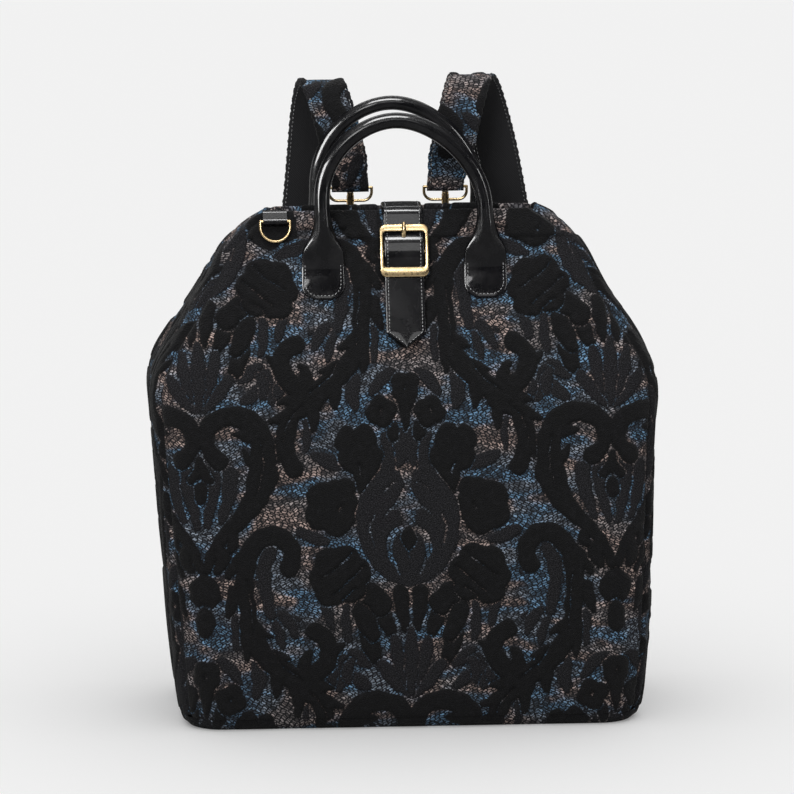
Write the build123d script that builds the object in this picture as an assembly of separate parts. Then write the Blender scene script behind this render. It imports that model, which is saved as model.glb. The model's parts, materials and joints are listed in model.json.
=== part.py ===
from build123d import *
import math
import os

os.makedirs("parts", exist_ok=True)

# Millimetres. +Z is up, the front of the bag faces -Y, and the origin is the middle of the base.

# Bag body, sewn from a front, a back, two gussets and a base
bag_height = 385
body_width = 382
body_depth = 154
corner_radius = 32
cloth_thickness = 2.5
hem_height = 18
hem_lift = 1.2
seam_inset = 8
base_seam_height = 14
board_thickness = 2.5
board_clearance = 1
overrun = 20
seat_clearance = 0.3

# Rows of the body from the floor up: height, half width, half depth and corner radius
body_shares = [
    (0.000, 0.865, 0.810, 0.75),
    (0.013, 0.895, 0.895, 0.88),
    (0.042, 0.917, 0.960, 0.97),
    (0.182, 0.942, 1.000, 1.00),
    (0.390, 0.963, 0.974, 1.00),
    (0.571, 0.984, 0.883, 0.94),
    (0.681, 1.000, 0.779, 0.88),
    (0.748, 0.932, 0.650, 0.75),
    (0.813, 0.834, 0.520, 0.62),
    (0.883, 0.760, 0.377, 0.47),
    (0.940, 0.708, 0.262, 0.34),
    (0.974, 0.634, 0.182, 0.27),
    (1.000, 0.545, 0.124, 0.21),
]

# Rolled leather handles
leather_thickness = 2.4
handle_diameter = 12
handle_span = 122
handle_rise = 78
handle_stand = 7
handle_tab_width = 32
handle_tab_drop = 25
handle_tab_length = 37
flare_drop = 4
flare_length = 26
flare_width = 29

# Closure strap, buckle and prong
strap_width = 30
strap_thickness = 2.6
strap_drop = 99
strap_point_length = 12
strap_clearance = 0.8
strap_fillet = 6
strap_fold_radius = 4
strap_crown_length = 6
strap_tip_lift = 5.5
strap_tail_drop = 10
slot_width = 5
slot_length = 13
slot_offset = 3.5
buckle_drop = 29
buckle_width = 36.5
buckle_length = 40
buckle_corner = 5
buckle_window_corner = 2.5
buckle_rail = 2.5
buckle_top_bar = 5.3
buckle_bottom_bar = 7
buckle_thickness = 3
buckle_bow = 1.5
buckle_edge = 0.8
buckle_lift = 4.7
buckle_seat = 0.5
ear_length = 6
bar_lift = 2.8
bar_diameter = 2.5
wrap_clearance = 0.2
wrap_thickness = 1.35
chape_width = 26
chape_length = 30
prong_width = 4
prong_thickness = 2.6
prong_rise = 9.5
prong_overhang = 0.6
prong_fillet = 5
prong_clearance = 0.4

# Charm ring on the front hem
charm_place = -96
charm_drop = 5.5
charm_inner_width = 20
charm_wire = 2.2
charm_leg = 4
charm_lean = 5
charm_loop_width = 18
charm_loop_thickness = 1.2
ring_clearance = 0.3
loop_fold_radius = 1.5

# Rear rings, their sewn tabs and the swivel hooks of the shoulder straps
hook_spacing = 72
hook_stand = 17
hook_wire = 4
hook_inner_width = 12
hook_straight = 10
hook_drop = 30
hook_tip_rise = 1.5
hook_mouth_angle = 30
collar_diameter = 8
collar_length = 4
post_diameter = 3
post_clearance = 0.3
post_head_diameter = 5
post_head_length = 2
barrel_diameter = 5.6
barrel_length = 8
eye_wire = 2.2
eye_width = 34.5
eye_rise = 10
eye_bend = 6.5
gate_thickness = 2.2
gate_width = 2.4
gate_knuckle = 4.4
gate_tip_rise = 0.5
gate_tip_clearance = 0.6
gate_thumb = 3.2
gate_thumb_share = 0.5
hinge_pin = 1.8
hinge_clearance = 0.3
hinge_ear = 1.2
rear_ring_inner_width = 20
rear_ring_wire = 3
rear_ring_leg = 4
rear_ring_slack = 0.8
rear_tab_width = 18
rear_tab_thickness = 1.8
rear_tab_bend_drop = 65
rear_tab_foot_drop = 87
rear_tab_fillet = 8

# Shoulder straps, folded round the hook eyes and sewn down at the back of the base
shoulder_width = 33
shoulder_end_width = 28
shoulder_thickness = 4
shoulder_fold_thickness = 1.6
shoulder_rise = 88
shoulder_peak_spacing = 114
shoulder_peak_stand = 26
shoulder_stand = 29
anchor_inset = 69
anchor_top = 56
anchor_bottom = 22
anchor_width = 38
anchor_margin = 6

# Near leg of a shoulder strap: sideways, backwards and upwards from the eye to the peak
near_leg_shares = [
    (0.00, 0.00, 0.00),
    (0.00, 0.00, 0.11),
    (0.20, 0.00, 0.33),
    (0.52, 0.15, 0.67),
    (0.81, 0.54, 0.92),
    (1.00, 1.00, 1.00),
]

# Rear leg: sideways from peak to anchor, backwards from the hook, upwards from the anchor
rear_leg_shares = [
    (0.06, 0.59, 0.984),
    (0.14, 0.74, 0.935),
    (0.22, 0.83, 0.865),
    (0.32, 0.92, 0.760),
    (0.51, 1.00, 0.595),
    (0.69, 0.985, 0.410),
    (0.86, 0.88, 0.220),
    (0.97, 0.72, 0.090),
]


def body_sizes(height):
    """Half width, half depth and corner radius of the body at a height"""
    share = height / bag_height
    for low, high in zip(body_shares, body_shares[1:]):
        if share <= high[0]:
            break
    along = (share - low[0]) / (high[0] - low[0])
    width_share, depth_share, corner_share = [a + (b - a) * along for a, b in zip(low[1:], high[1:])]
    return width_share * body_width / 2, depth_share * body_depth / 2, corner_share * corner_radius


def body_depth_at(height):
    """Distance of the front or back cloth from the middle plane"""
    return body_sizes(height)[1]


def body_section(height, outset):
    """Rounded rectangle of the body at a height, grown by outset"""
    half_width, half_depth, corner = body_sizes(height)
    outline = RectangleRounded(2 * (half_width + outset), 2 * (half_depth + outset), corner + outset)
    return Pos(0, 0, height) * outline


def row_heights(low, high):
    """Heights from low to high with the body's rows between them"""
    between = [row[0] * bag_height for row in body_shares if low < row[0] * bag_height < high]
    return [low] + between + [high]


def body_loft(outset, low, high):
    """Body form between two heights, grown by outset"""
    return loft([body_section(height, outset) for height in row_heights(low, high)], ruled=True)


def front_prism(sketch, reach):
    """A sketch in the XZ plane carried towards the front by reach, or to the back if negative"""
    return extrude(Plane.XZ * sketch, amount=reach)


def bent_strip(points, radii, thickness, width):
    """A flat strip carried along straight runs and arcs in a plane across X"""
    path = FilletPolyline(*points, radius=radii)
    start = Plane(origin=path @ 0, x_dir=(1, 0, 0), z_dir=path % 0)
    return sweep(start * Rectangle(width, thickness), path=path)


def wire_ring(inner_width, wire, leg):
    """A D-ring in the XY plane: a straight bar on the X axis, two legs and a round bow towards -Y"""
    half = (inner_width + wire) / 2
    bow = Line((-half, 0), (-half, -leg))
    bow += ThreePointArc((-half, -leg), (0, -leg - half), (half, -leg))
    bow += Line((half, -leg), (half, 0))
    start = Plane(origin=(-half, 0, 0), z_dir=(0, -1, 0))
    ring = sweep(start * Circle(wire / 2), path=bow)
    ring += Pos(-half, 0, 0) * Rot(0, 90, 0) * extrude(Circle(wire / 2), amount=2 * half)
    ring += Pos(-half, 0, 0) * Sphere(wire / 2)
    ring += Pos(half, 0, 0) * Sphere(wire / 2)
    return ring


def cross_rod(radius, width):
    """A round rod lying along X"""
    return extrude(Plane.YZ * Circle(radius), amount=width / 2, both=True)


def cross_tube(outer, inner, width):
    """A tube lying along X"""
    return cross_rod(outer, width) - cross_rod(inner, width)


# Bag shell: the body form hollowed out, with the folded hem round the mouth
body = body_loft(0, 0, bag_height)
hollow = body_loft(-cloth_thickness, cloth_thickness, bag_height)
hollow += extrude(body_section(bag_height, -cloth_thickness), amount=overrun)
hem = body_loft(hem_lift, bag_height - hem_height, bag_height)
shell = body + hem - hollow

# Panels: the front and back reach to the seams, and the gussets and base take the rest
seam_heights = row_heights(base_seam_height, bag_height)
seam_right = [(body_sizes(height)[0] - seam_inset, height) for height in seam_heights]
seam_right.append((seam_right[-1][0], bag_height + overrun))
seam_left = [(-x, z) for x, z in reversed(seam_right)]
panel_outline = make_face(Polyline(*seam_right, *seam_left, close=True))
front_panel = shell & front_prism(panel_outline, body_depth)
back_panel = shell & front_prism(panel_outline, -body_depth)
below_seam = Pos(0, 0, base_seam_height) * Box(
    body_width + overrun, body_depth + overrun, bag_height, align=(Align.CENTER, Align.CENTER, Align.MAX)
)
base_panel = shell & below_seam
sides = shell - below_seam - front_prism(panel_outline, body_depth) - front_prism(panel_outline, -body_depth)
right_half = Box(
    body_width, body_depth + overrun, bag_height + overrun, align=(Align.MIN, Align.CENTER, Align.MIN)
)
right_gusset = sides & right_half
left_gusset = sides - right_half

# Base board lying on the floor of the bag
floor_width, floor_depth, floor_corner = body_sizes(cloth_thickness)
board_inset = cloth_thickness + board_clearance
base_board = Pos(0, 0, cloth_thickness) * extrude(
    RectangleRounded(2 * (floor_width - board_inset), 2 * (floor_depth - board_inset), floor_corner - board_inset),
    amount=board_thickness,
)

# Handle: a rolled bow that flares into two tabs sewn on the panel
leg_x = handle_span / 2
handle_top = bag_height + handle_rise
handle_tab_top = bag_height - handle_tab_drop
handle_tab_bottom = handle_tab_top - handle_tab_length
flare_top = bag_height - flare_drop
flare_bottom = flare_top - flare_length
handle_reach = body_depth_at(flare_bottom) + handle_stand
spring_height = handle_top - handle_diameter / 2 - leg_x
bow = Line((-leg_x, -handle_reach, flare_top), (-leg_x, -handle_reach, spring_height))
bow += ThreePointArc(
    (-leg_x, -handle_reach, spring_height),
    (0, -handle_reach, spring_height + leg_x),
    (leg_x, -handle_reach, spring_height),
)
bow += Line((leg_x, -handle_reach, spring_height), (leg_x, -handle_reach, flare_top))
front_handle = sweep(Pos(-leg_x, -handle_reach, flare_top) * Circle(handle_diameter / 2), path=bow)
tab_skin = body_loft(leather_thickness, handle_tab_bottom, handle_tab_top) - body
tab_round = handle_tab_bottom + handle_tab_width / 2
flare_depth = body_depth_at(flare_bottom) + leather_thickness / 2
for side in (-1, 1):
    tab_face = Pos(side * leg_x, tab_round) * Circle(handle_tab_width / 2)
    tab_face += Pos(side * leg_x, tab_round) * Rectangle(
        handle_tab_width, handle_tab_top - tab_round, align=(Align.CENTER, Align.MIN)
    )
    flare = loft(
        [
            Pos(side * leg_x, -flare_depth, flare_bottom) * Ellipse(flare_width / 2, leather_thickness),
            Pos(side * leg_x, -handle_reach, flare_top) * Circle(handle_diameter / 2),
        ]
    )
    front_handle += flare - body
    front_handle += tab_skin & front_prism(tab_face, body_depth)
back_handle = mirror(front_handle, about=Plane.XZ)

# Buckle plane: it lies along the sloping front at the buckle, x across, y up the slope, z outwards
buckle_height = bag_height - buckle_drop
slope_low = buckle_height - buckle_length / 2
slope_high = buckle_height + buckle_length / 2
slope_run = body_depth_at(slope_low) - body_depth_at(slope_high)
slope_rise = slope_high - slope_low
slope_angle = math.degrees(math.atan2(slope_run, slope_rise))
outward = (0, -slope_rise, slope_run)
buckle_plane = Plane(
    origin=(0, -body_depth_at(buckle_height) - buckle_seat, buckle_height), x_dir=(1, 0, 0), z_dir=outward
)
side_plane = Plane(origin=buckle_plane.origin, x_dir=buckle_plane.y_dir, z_dir=(1, 0, 0))


def on_slope(up, out):
    """A point of the middle plane, by its place along the slope and out of it"""
    return buckle_plane.from_local_coords((0, up, out))


def across(sketch, width):
    """A sketch in the slope's side view carried across the bag"""
    return extrude(side_plane * sketch, amount=width / 2, both=True)


# Buckle frame: a bowed outline with a centre bar between two ears
half_length = buckle_length / 2
low_arc = ThreePointArc((-half_length, buckle_lift), (0, buckle_lift + buckle_bow), (half_length, buckle_lift))
bow_height = buckle_lift + buckle_thickness
high_arc = ThreePointArc((half_length, bow_height), (0, bow_height + buckle_bow), (-half_length, bow_height))
bow_face = make_face(
    [low_arc, Line(low_arc @ 1, high_arc @ 0), high_arc, Line(high_arc @ 1, low_arc @ 0)]
)
window_width = buckle_width - 2 * buckle_rail
window_length = buckle_length - buckle_top_bar - buckle_bottom_bar
window_shift = (buckle_bottom_bar - buckle_top_bar) / 2
frame_face = RectangleRounded(buckle_width, buckle_length, buckle_corner)
frame_face -= Pos(0, window_shift) * RectangleRounded(window_width, window_length, buckle_window_corner)
buckle_frame = across(bow_face, buckle_width) & extrude(buckle_plane * frame_face, amount=buckle_length)
front_edges = buckle_frame.faces().sort_by(Axis(buckle_plane.origin, outward))[-1].edges()
buckle_frame = fillet(front_edges, radius=buckle_edge)
ear_rise = bow_height - bar_lift
ear_face = Pos(0, bar_lift) * Circle(ear_length / 2)
ear_face += Pos(0, bar_lift) * Rectangle(ear_length, ear_rise, align=(Align.CENTER, Align.MIN))
buckle_frame += across(ear_face, buckle_width) - across(ear_face, window_width)
buckle_frame += across(Pos(0, bar_lift) * Circle(bar_diameter / 2), window_width + buckle_rail)

# Chape: the sewn strip that folds round the centre bar and leaves a gap for the prong
wrap_inner = bar_diameter / 2 + wrap_clearance
wrap_outer = wrap_inner + wrap_thickness
chape_face = Pos(0, bar_lift) * Circle(wrap_outer)
chape_face += Pos(0, bar_lift - wrap_outer) * Rectangle(
    chape_length, wrap_thickness, align=(Align.MAX, Align.MIN)
)
chape_face -= Pos(0, bar_lift) * Circle(wrap_inner)
prong_gap = across(Pos(0, bar_lift) * Rectangle(2 * wrap_outer + wrap_thickness, 2 * wrap_outer + overrun),
                   prong_width + 2 * prong_clearance)
buckle_chape = across(chape_face, chape_width) - prong_gap

# Prong: an eye on the centre bar and a bent finger that rests on the top bar
prong_tip = half_length + prong_overhang
prong_path = FilletPolyline(
    (0, bar_lift + wrap_inner + prong_thickness / 2),
    (prong_rise, bow_height + prong_thickness / 2 + buckle_bow / 2 + prong_clearance),
    (prong_tip, bow_height + prong_thickness / 2 + buckle_bow / 2 + prong_clearance),
    radius=prong_fillet,
)
prong_face = trace(prong_path, line_width=prong_thickness)
prong_face += Pos(0, bar_lift) * Circle(wrap_outer)
prong_face -= Pos(0, bar_lift) * Circle(wrap_inner)
buckle_prong = across(prong_face, prong_width)

# Closure strap: sewn to the back, over the mouth, under and over the buckle's bars to a pointed end
strap_end_height = bag_height - strap_drop
half_strap = strap_thickness / 2
lie = strap_clearance + half_strap
crown = bar_lift + wrap_outer + seat_clearance + half_strap
under_bottom = bar_lift - wrap_outer + wrap_thickness + seat_clearance + half_strap
top_height = bag_height + lie
fold_up = (top_height - on_slope(0, lie).Z) / buckle_plane.y_dir.Z
front_fold = on_slope(fold_up, lie)
back_low = on_slope(-strap_tail_drop, lie)
tip_up = (strap_end_height - on_slope(0, strap_tip_lift).Z) / buckle_plane.y_dir.Z
strap_points = [
    (0, -back_low.Y, back_low.Z),
    (0, -front_fold.Y, front_fold.Z),
    front_fold,
    on_slope(half_length - buckle_top_bar - half_strap, lie),
    on_slope(strap_crown_length / 2, crown),
    on_slope(-strap_crown_length / 2, crown),
    on_slope(buckle_bottom_bar - half_length, under_bottom),
    on_slope(-half_length, under_bottom),
    on_slope(tip_up, strap_tip_lift),
]
strap_corners = strap_points[1:-1]
fold_radii = [strap_fold_radius, strap_fold_radius]
strap_radii = fold_radii + [strap_fillet] * (len(strap_corners) - len(fold_radii))
strap_outline = make_face(
    Polyline(
        (0, strap_end_height),
        (strap_width / 2, strap_end_height + strap_point_length),
        (strap_width / 2, bag_height + overrun),
        (-strap_width / 2, bag_height + overrun),
        (-strap_width / 2, strap_end_height + strap_point_length),
        close=True,
    )
)
closure_strap = bent_strip(strap_points, strap_radii, strap_thickness, strap_width)
closure_strap &= extrude(Plane.XZ * strap_outline, amount=body_depth, both=True)
slot_sketch = Pos(0, slot_offset) * Rot(0, 0, 90) * SlotOverall(slot_length, slot_width)
closure_strap -= extrude(buckle_plane * slot_sketch, amount=overrun)

# Charm ring hanging on the front hem, in a leather loop sewn over the mouth's edge
charm_height = bag_height - charm_drop
charm_inner = charm_wire / 2 + ring_clearance
charm_outer = charm_inner + charm_loop_thickness
charm_lift = hem_lift + (charm_outer + seat_clearance) / math.cos(math.radians(slope_angle))
charm_center = (charm_place, -body_depth_at(charm_height) - charm_lift, charm_height)
charm_plane = Plane(origin=charm_center, x_dir=(1, 0, 0), z_dir=outward)
charm_ring = charm_plane * Rot(charm_lean, 0, 0) * wire_ring(charm_inner_width, charm_wire, charm_leg)
loop_mid = charm_inner + charm_loop_thickness / 2
loop_foot = charm_plane.from_local_coords((0, 0, -loop_mid))
loop_top = bag_height + seat_clearance + charm_loop_thickness / 2
loop_up = (loop_top - loop_foot.Z) / buckle_plane.y_dir.Z
loop_corner = charm_plane.from_local_coords((0, loop_up, -loop_mid))
loop_end = (charm_place, -body_depth_at(bag_height) + cloth_thickness, loop_top)
charm_loop = bent_strip(
    [loop_foot, loop_corner, loop_end], loop_fold_radius, charm_loop_thickness, charm_loop_width
)
charm_loop += Pos(*charm_center) * cross_tube(charm_outer, charm_inner, charm_loop_width)
charm_loop -= Pos(*charm_center) * cross_rod(charm_inner, charm_loop_width)

# Swivel hook in the plane across X, with its middle at the origin
hook_half = (hook_inner_width + hook_wire) / 2
mouth_turn = math.radians(hook_mouth_angle)
mouth_y = hook_half * math.cos(mouth_turn)
mouth_z = hook_straight + hook_half * math.sin(mouth_turn)
hook_path = ThreePointArc((0, mouth_y, mouth_z), (0, 0, hook_straight + hook_half), (0, -hook_half, hook_straight))
hook_path += Line((0, -hook_half, hook_straight), (0, -hook_half, 0))
hook_path += ThreePointArc((0, -hook_half, 0), (0, 0, -hook_half), (0, hook_half, 0))
hook_path += Line((0, hook_half, 0), (0, hook_half, hook_tip_rise))
hook_top = hook_straight + hook_half + hook_wire / 2
collar_top = hook_top + collar_length
barrel_low = collar_top + post_clearance
barrel_high = barrel_low + barrel_length
head_low = barrel_high + post_clearance
eye_bar = barrel_low + barrel_length / 2
eye_top = eye_bar + eye_rise
ear_gap = gate_width / 2 + hinge_clearance
hinge_place = Pos(0, mouth_y, mouth_z)

swivel_hook = sweep(Plane(origin=hook_path @ 0, z_dir=hook_path % 0) * Circle(hook_wire / 2), path=hook_path)
swivel_hook += hinge_place * cross_rod(gate_knuckle / 2, 2 * (ear_gap + hinge_ear))
swivel_hook -= hinge_place * cross_rod(gate_knuckle / 2 + hinge_clearance, 2 * ear_gap)
swivel_hook += hinge_place * cross_rod(hinge_pin / 2, 2 * (ear_gap + hinge_ear))
post_foot = hook_top - hook_wire / 2
swivel_hook += Pos(0, 0, post_foot) * extrude(Circle(collar_diameter / 2), amount=collar_top - post_foot)
swivel_hook += Pos(0, 0, post_foot) * extrude(Circle(post_diameter / 2), amount=head_low - post_foot)
swivel_hook += Pos(0, 0, head_low) * extrude(Circle(post_head_diameter / 2), amount=post_head_length)

# Gate: a finger on the hinge pin that closes the hook's mouth from inside
gate_tip_y = hook_half - hook_wire / 2 - gate_tip_clearance - gate_thickness / 2
gate_line = Line((mouth_y, mouth_z), (gate_tip_y, gate_tip_rise))
gate_face = trace(gate_line, line_width=gate_thickness)
gate_face += Pos(gate_tip_y, gate_tip_rise) * Circle(gate_thickness / 2)
gate_face += Pos(mouth_y, mouth_z) * Circle(gate_knuckle / 2)
thumb_place = gate_line @ gate_thumb_share
gate_face += Pos(thumb_place.X + gate_thickness / 2, thumb_place.Y) * Circle(gate_thumb / 2)
gate_face -= Pos(mouth_y, mouth_z) * Circle(hinge_pin / 2 + hinge_clearance)
hook_gate = extrude(Plane.YZ * gate_face, amount=gate_width / 2, both=True)

# Eye: a wire bent up at both ends of its lower bar, with a barrel that the hook's post turns in
eye_half = (eye_width - eye_wire) / 2
eye_path = FilletPolyline(
    (-eye_half, 0, eye_top),
    (-eye_half, 0, eye_bar),
    (eye_half, 0, eye_bar),
    (eye_half, 0, eye_top),
    radius=eye_bend,
)
hook_eye = sweep(Plane(origin=eye_path @ 0, z_dir=eye_path % 0) * Circle(eye_wire / 2), path=eye_path)
hook_eye += Pos(0, 0, eye_top) * cross_rod(eye_wire / 2, 2 * eye_half)
for corner_x in (-eye_half, eye_half):
    hook_eye += Pos(corner_x, 0, eye_top) * Sphere(eye_wire / 2)
hook_eye += Pos(0, 0, barrel_low) * extrude(Circle(barrel_diameter / 2), amount=barrel_length)
bore_radius = post_diameter / 2 + post_clearance
hook_eye -= Pos(0, 0, barrel_low) * extrude(Circle(bore_radius), amount=barrel_length)

# Rear ring standing in the hook, and the tab that holds its bar
hook_middle = bag_height - hook_drop
hook_reach = body_depth_at(hook_middle) + hook_stand
rear_tab_bend_height = bag_height - rear_tab_bend_drop
rear_tab_foot_height = bag_height - rear_tab_foot_drop
ring_crest = hook_middle - hook_inner_width / 2 + rear_ring_slack + rear_ring_wire / 2
ring_rise = rear_ring_leg + (rear_ring_inner_width + rear_ring_wire) / 2
ring_bar = ring_crest - ring_rise
rear_ring = Rot(-90, 0, 0) * wire_ring(rear_ring_inner_width, rear_ring_wire, rear_ring_leg)
tab_inner = rear_ring_wire / 2 + ring_clearance
tab_outer = tab_inner + rear_tab_thickness
tab_mid = tab_inner + rear_tab_thickness / 2
tab_lie = (seat_clearance + rear_tab_thickness / 2) / math.cos(math.radians(slope_angle))
rear_tab = bent_strip(
    [
        (0, hook_reach - tab_mid, ring_bar),
        (0, body_depth_at(rear_tab_bend_height) + tab_lie, rear_tab_bend_height),
        (0, body_depth_at(rear_tab_foot_height) + tab_lie, rear_tab_foot_height),
    ],
    rear_tab_fillet,
    rear_tab_thickness,
    rear_tab_width,
)
rear_tab += Pos(0, hook_reach, ring_bar) * cross_tube(tab_outer, tab_inner, rear_tab_width)
rear_tab -= Pos(0, hook_reach, ring_bar) * cross_rod(tab_inner, rear_tab_width)

# Shoulder strap on the right: its route, then flat sections along the route
hook_x = hook_spacing / 2
peak_x = shoulder_peak_spacing / 2
anchor_x = body_width / 2 - anchor_inset
shoulder_peak = bag_height + shoulder_rise
shoulder_peak_reach = hook_reach + shoulder_peak_stand
shoulder_reach = body_depth / 2 + shoulder_stand
fold_inner = eye_wire / 2 + ring_clearance
fold_outer = fold_inner + shoulder_fold_thickness
fold_height = hook_middle + eye_top
near_start = fold_height + fold_inner + seat_clearance
route = [
    Vector(
        hook_x + (peak_x - hook_x) * x_share,
        hook_reach + (shoulder_peak_reach - hook_reach) * y_share,
        near_start + (shoulder_peak - near_start) * z_share,
    )
    for x_share, y_share, z_share in near_leg_shares
]
route += [
    Vector(
        peak_x + (anchor_x - peak_x) * x_share,
        hook_reach + (shoulder_reach - hook_reach) * y_share,
        anchor_bottom + (shoulder_peak - anchor_bottom) * z_share,
    )
    for x_share, y_share, z_share in rear_leg_shares
]
strap_lie = leather_thickness + seat_clearance + shoulder_thickness / 2
for height in (anchor_top - anchor_margin, anchor_bottom + anchor_margin):
    route.append(Vector(anchor_x, body_depth_at(height) + strap_lie, height))
narrow_rows = 2
widths = [shoulder_end_width] * narrow_rows + [shoulder_width] * (len(route) - narrow_rows)


def strap_section(index):
    """Flat section of the shoulder strap across its route"""
    before = route[max(index - 1, 0)]
    after = route[min(index + 1, len(route) - 1)]
    along = (after - before).normalized()
    face_out = Vector(0, -along.Z, along.Y)
    plane = Plane(origin=route[index], x_dir=along.cross(face_out), z_dir=along)
    return plane * Rectangle(widths[index], shoulder_thickness)


right_shoulder_strap = loft([strap_section(index) for index in range(len(route))], ruled=True)
fold_place = Pos(hook_x, hook_reach, fold_height)
right_shoulder_strap += fold_place * cross_tube(fold_outer, fold_inner, shoulder_end_width)

# Leather anchor sewn on the back under the strap's lower end
anchor_skin = body_loft(leather_thickness, anchor_bottom, anchor_top) - body
anchor_mid = (anchor_top + anchor_bottom) / 2
anchor_face = Pos(anchor_x, anchor_mid) * Rectangle(anchor_width, anchor_top - anchor_bottom)
right_anchor = anchor_skin & front_prism(anchor_face, -body_depth)

hook_place = Pos(hook_x, hook_reach, hook_middle)
right_pieces = {
    "shoulder_strap": right_shoulder_strap,
    "strap_anchor": right_anchor,
    "hook_eye": hook_place * hook_eye,
    "swivel_hook": hook_place * swivel_hook,
    "hook_gate": hook_place * hook_gate,
    "rear_ring": Pos(hook_x, hook_reach, ring_bar) * rear_ring,
    "rear_ring_tab": Pos(hook_x, 0, 0) * rear_tab,
}

pieces = {
    "front_panel": front_panel,
    "back_panel": back_panel,
    "left_gusset": left_gusset,
    "right_gusset": right_gusset,
    "base_panel": base_panel,
    "base_board": base_board,
    "front_handle": front_handle,
    "back_handle": back_handle,
    "closure_strap": closure_strap,
    "buckle_frame": buckle_frame,
    "buckle_prong": buckle_prong,
    "buckle_chape": buckle_chape,
    "charm_ring": charm_ring,
    "charm_loop": charm_loop,
}
for name, piece in right_pieces.items():
    pieces["right_" + name] = piece
    pieces["left_" + name] = mirror(piece, about=Plane.YZ)

for name, piece in pieces.items():
    export_step(piece, "parts/" + name + ".step")
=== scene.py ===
import json
import math

import bpy
import numpy as np
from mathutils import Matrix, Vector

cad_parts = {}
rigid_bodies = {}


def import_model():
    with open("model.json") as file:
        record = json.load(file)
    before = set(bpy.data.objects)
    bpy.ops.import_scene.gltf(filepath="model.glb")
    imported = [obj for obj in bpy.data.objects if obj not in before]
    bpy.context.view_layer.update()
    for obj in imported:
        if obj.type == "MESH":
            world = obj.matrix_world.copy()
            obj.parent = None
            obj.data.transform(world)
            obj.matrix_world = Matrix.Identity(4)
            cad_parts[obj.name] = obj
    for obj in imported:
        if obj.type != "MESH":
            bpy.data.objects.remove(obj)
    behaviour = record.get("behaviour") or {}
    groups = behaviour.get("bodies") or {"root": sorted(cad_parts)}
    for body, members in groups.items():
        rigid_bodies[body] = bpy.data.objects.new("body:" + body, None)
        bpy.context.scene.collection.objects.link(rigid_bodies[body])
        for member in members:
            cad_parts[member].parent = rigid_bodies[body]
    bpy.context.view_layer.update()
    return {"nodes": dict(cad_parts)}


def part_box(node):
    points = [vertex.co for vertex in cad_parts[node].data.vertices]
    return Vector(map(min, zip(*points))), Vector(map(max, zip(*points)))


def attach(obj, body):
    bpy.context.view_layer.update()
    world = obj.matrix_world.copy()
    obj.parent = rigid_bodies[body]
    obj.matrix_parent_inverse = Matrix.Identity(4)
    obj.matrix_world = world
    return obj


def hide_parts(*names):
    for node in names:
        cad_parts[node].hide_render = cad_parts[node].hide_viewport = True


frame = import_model()

# Lengths are millimetres in the bag's own frame: front towards -Y, +Z up. Meshes are made in metres.
METRE = 0.001
PIXEL = 0.75

# Bag body, measured from the frame
BAG_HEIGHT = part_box("front_panel")[1].z / METRE
HALF_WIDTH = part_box("right_gusset")[1].x / METRE
HALF_DEPTH = -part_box("front_panel")[0].y / METRE
CORNER = 32.0
SEAM_INSET = 5.5
BASE_SEAM = 9.0
CLOTH = 2.5
HEM_HEIGHT = 18.0
HEM_LIFT = 1.7
HEM_SHIFT = 9.0

# Rows of the body from the floor up: height, half width, half depth and corner radius
BODY_SHARES = np.array([
    (0.000, 0.880, 0.870, 0.80),
    (0.013, 0.903, 0.925, 0.90),
    (0.042, 0.917, 0.962, 0.97),
    (0.182, 0.942, 1.000, 1.00),
    (0.390, 0.963, 0.974, 1.00),
    (0.571, 0.984, 0.883, 0.94),
    (0.681, 1.000, 0.779, 0.88),
    (0.748, 0.932, 0.650, 0.75),
    (0.813, 0.834, 0.520, 0.62),
    (0.883, 0.760, 0.377, 0.47),
    (0.940, 0.708, 0.262, 0.34),
    (0.974, 0.634, 0.182, 0.27),
    (1.000, 0.545, 0.124, 0.21),
])
ROW_BLEND = 17.0
ROW_TAPS = 9


# Small helpers on whole arrays

def smooth_step(low, high, value):
    """Rises from 0 at low to 1 at high as 3t^2 - 2t^3"""
    t = np.clip((value - low) / (high - low), 0, 1)
    return t * t * (3 - 2 * t)


def unit(vectors):
    """Vectors divided by their lengths"""
    return vectors / np.maximum(np.linalg.norm(vectors, axis=-1, keepdims=True), 1e-9)


def smooth_path(points, step, blend):
    """A polyline resampled at even steps, then averaged over a window of length blend, ends kept"""
    points = np.asarray(points, float)
    lengths = np.concatenate([[0], np.cumsum(np.linalg.norm(np.diff(points, axis=0), axis=1))])
    count = max(int(lengths[-1] / step), 2)
    along = np.linspace(0, lengths[-1], count + 1)
    room = np.minimum(blend / 2, np.minimum(along, lengths[-1] - along))
    shifts = np.linspace(-1, 1, ROW_TAPS)
    where = along[:, None] + room[:, None] * shifts
    columns = [np.interp(where, lengths, column).mean(axis=1) for column in points.T]
    return np.stack(columns, axis=1)


def tangents(path):
    """Unit directions along a path"""
    return unit(np.gradient(path, axis=0))


def grid_faces(rows, columns, wrap=False):
    """Quads of a grid of points in rows; wrap joins the last column to the first"""
    index = np.arange(rows * columns).reshape(rows, columns)
    if wrap:
        index = np.concatenate([index, index[:, :1]], axis=1)
    low, high = index[:-1], index[1:]
    return np.stack([low[:, :-1], low[:, 1:], high[:, 1:], high[:, :-1]], axis=-1).reshape(-1, 4)


def repeat_last(grid, count):
    """A grid with its last row repeated"""
    return np.concatenate([grid, np.repeat(grid[-1:], count, axis=0)])


def repeat_ends(grid):
    """A grid with its first and last rows doubled"""
    return np.concatenate([grid[:1], grid, grid[-1:]])


def join(meshes):
    """Several (points, quads) meshes as one"""
    points = np.concatenate([mesh[0] for mesh in meshes])
    starts = np.cumsum([0] + [len(mesh[0]) for mesh in meshes[:-1]])
    faces = np.concatenate([mesh[1] + start for mesh, start in zip(meshes, starts)])
    return points, faces


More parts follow.
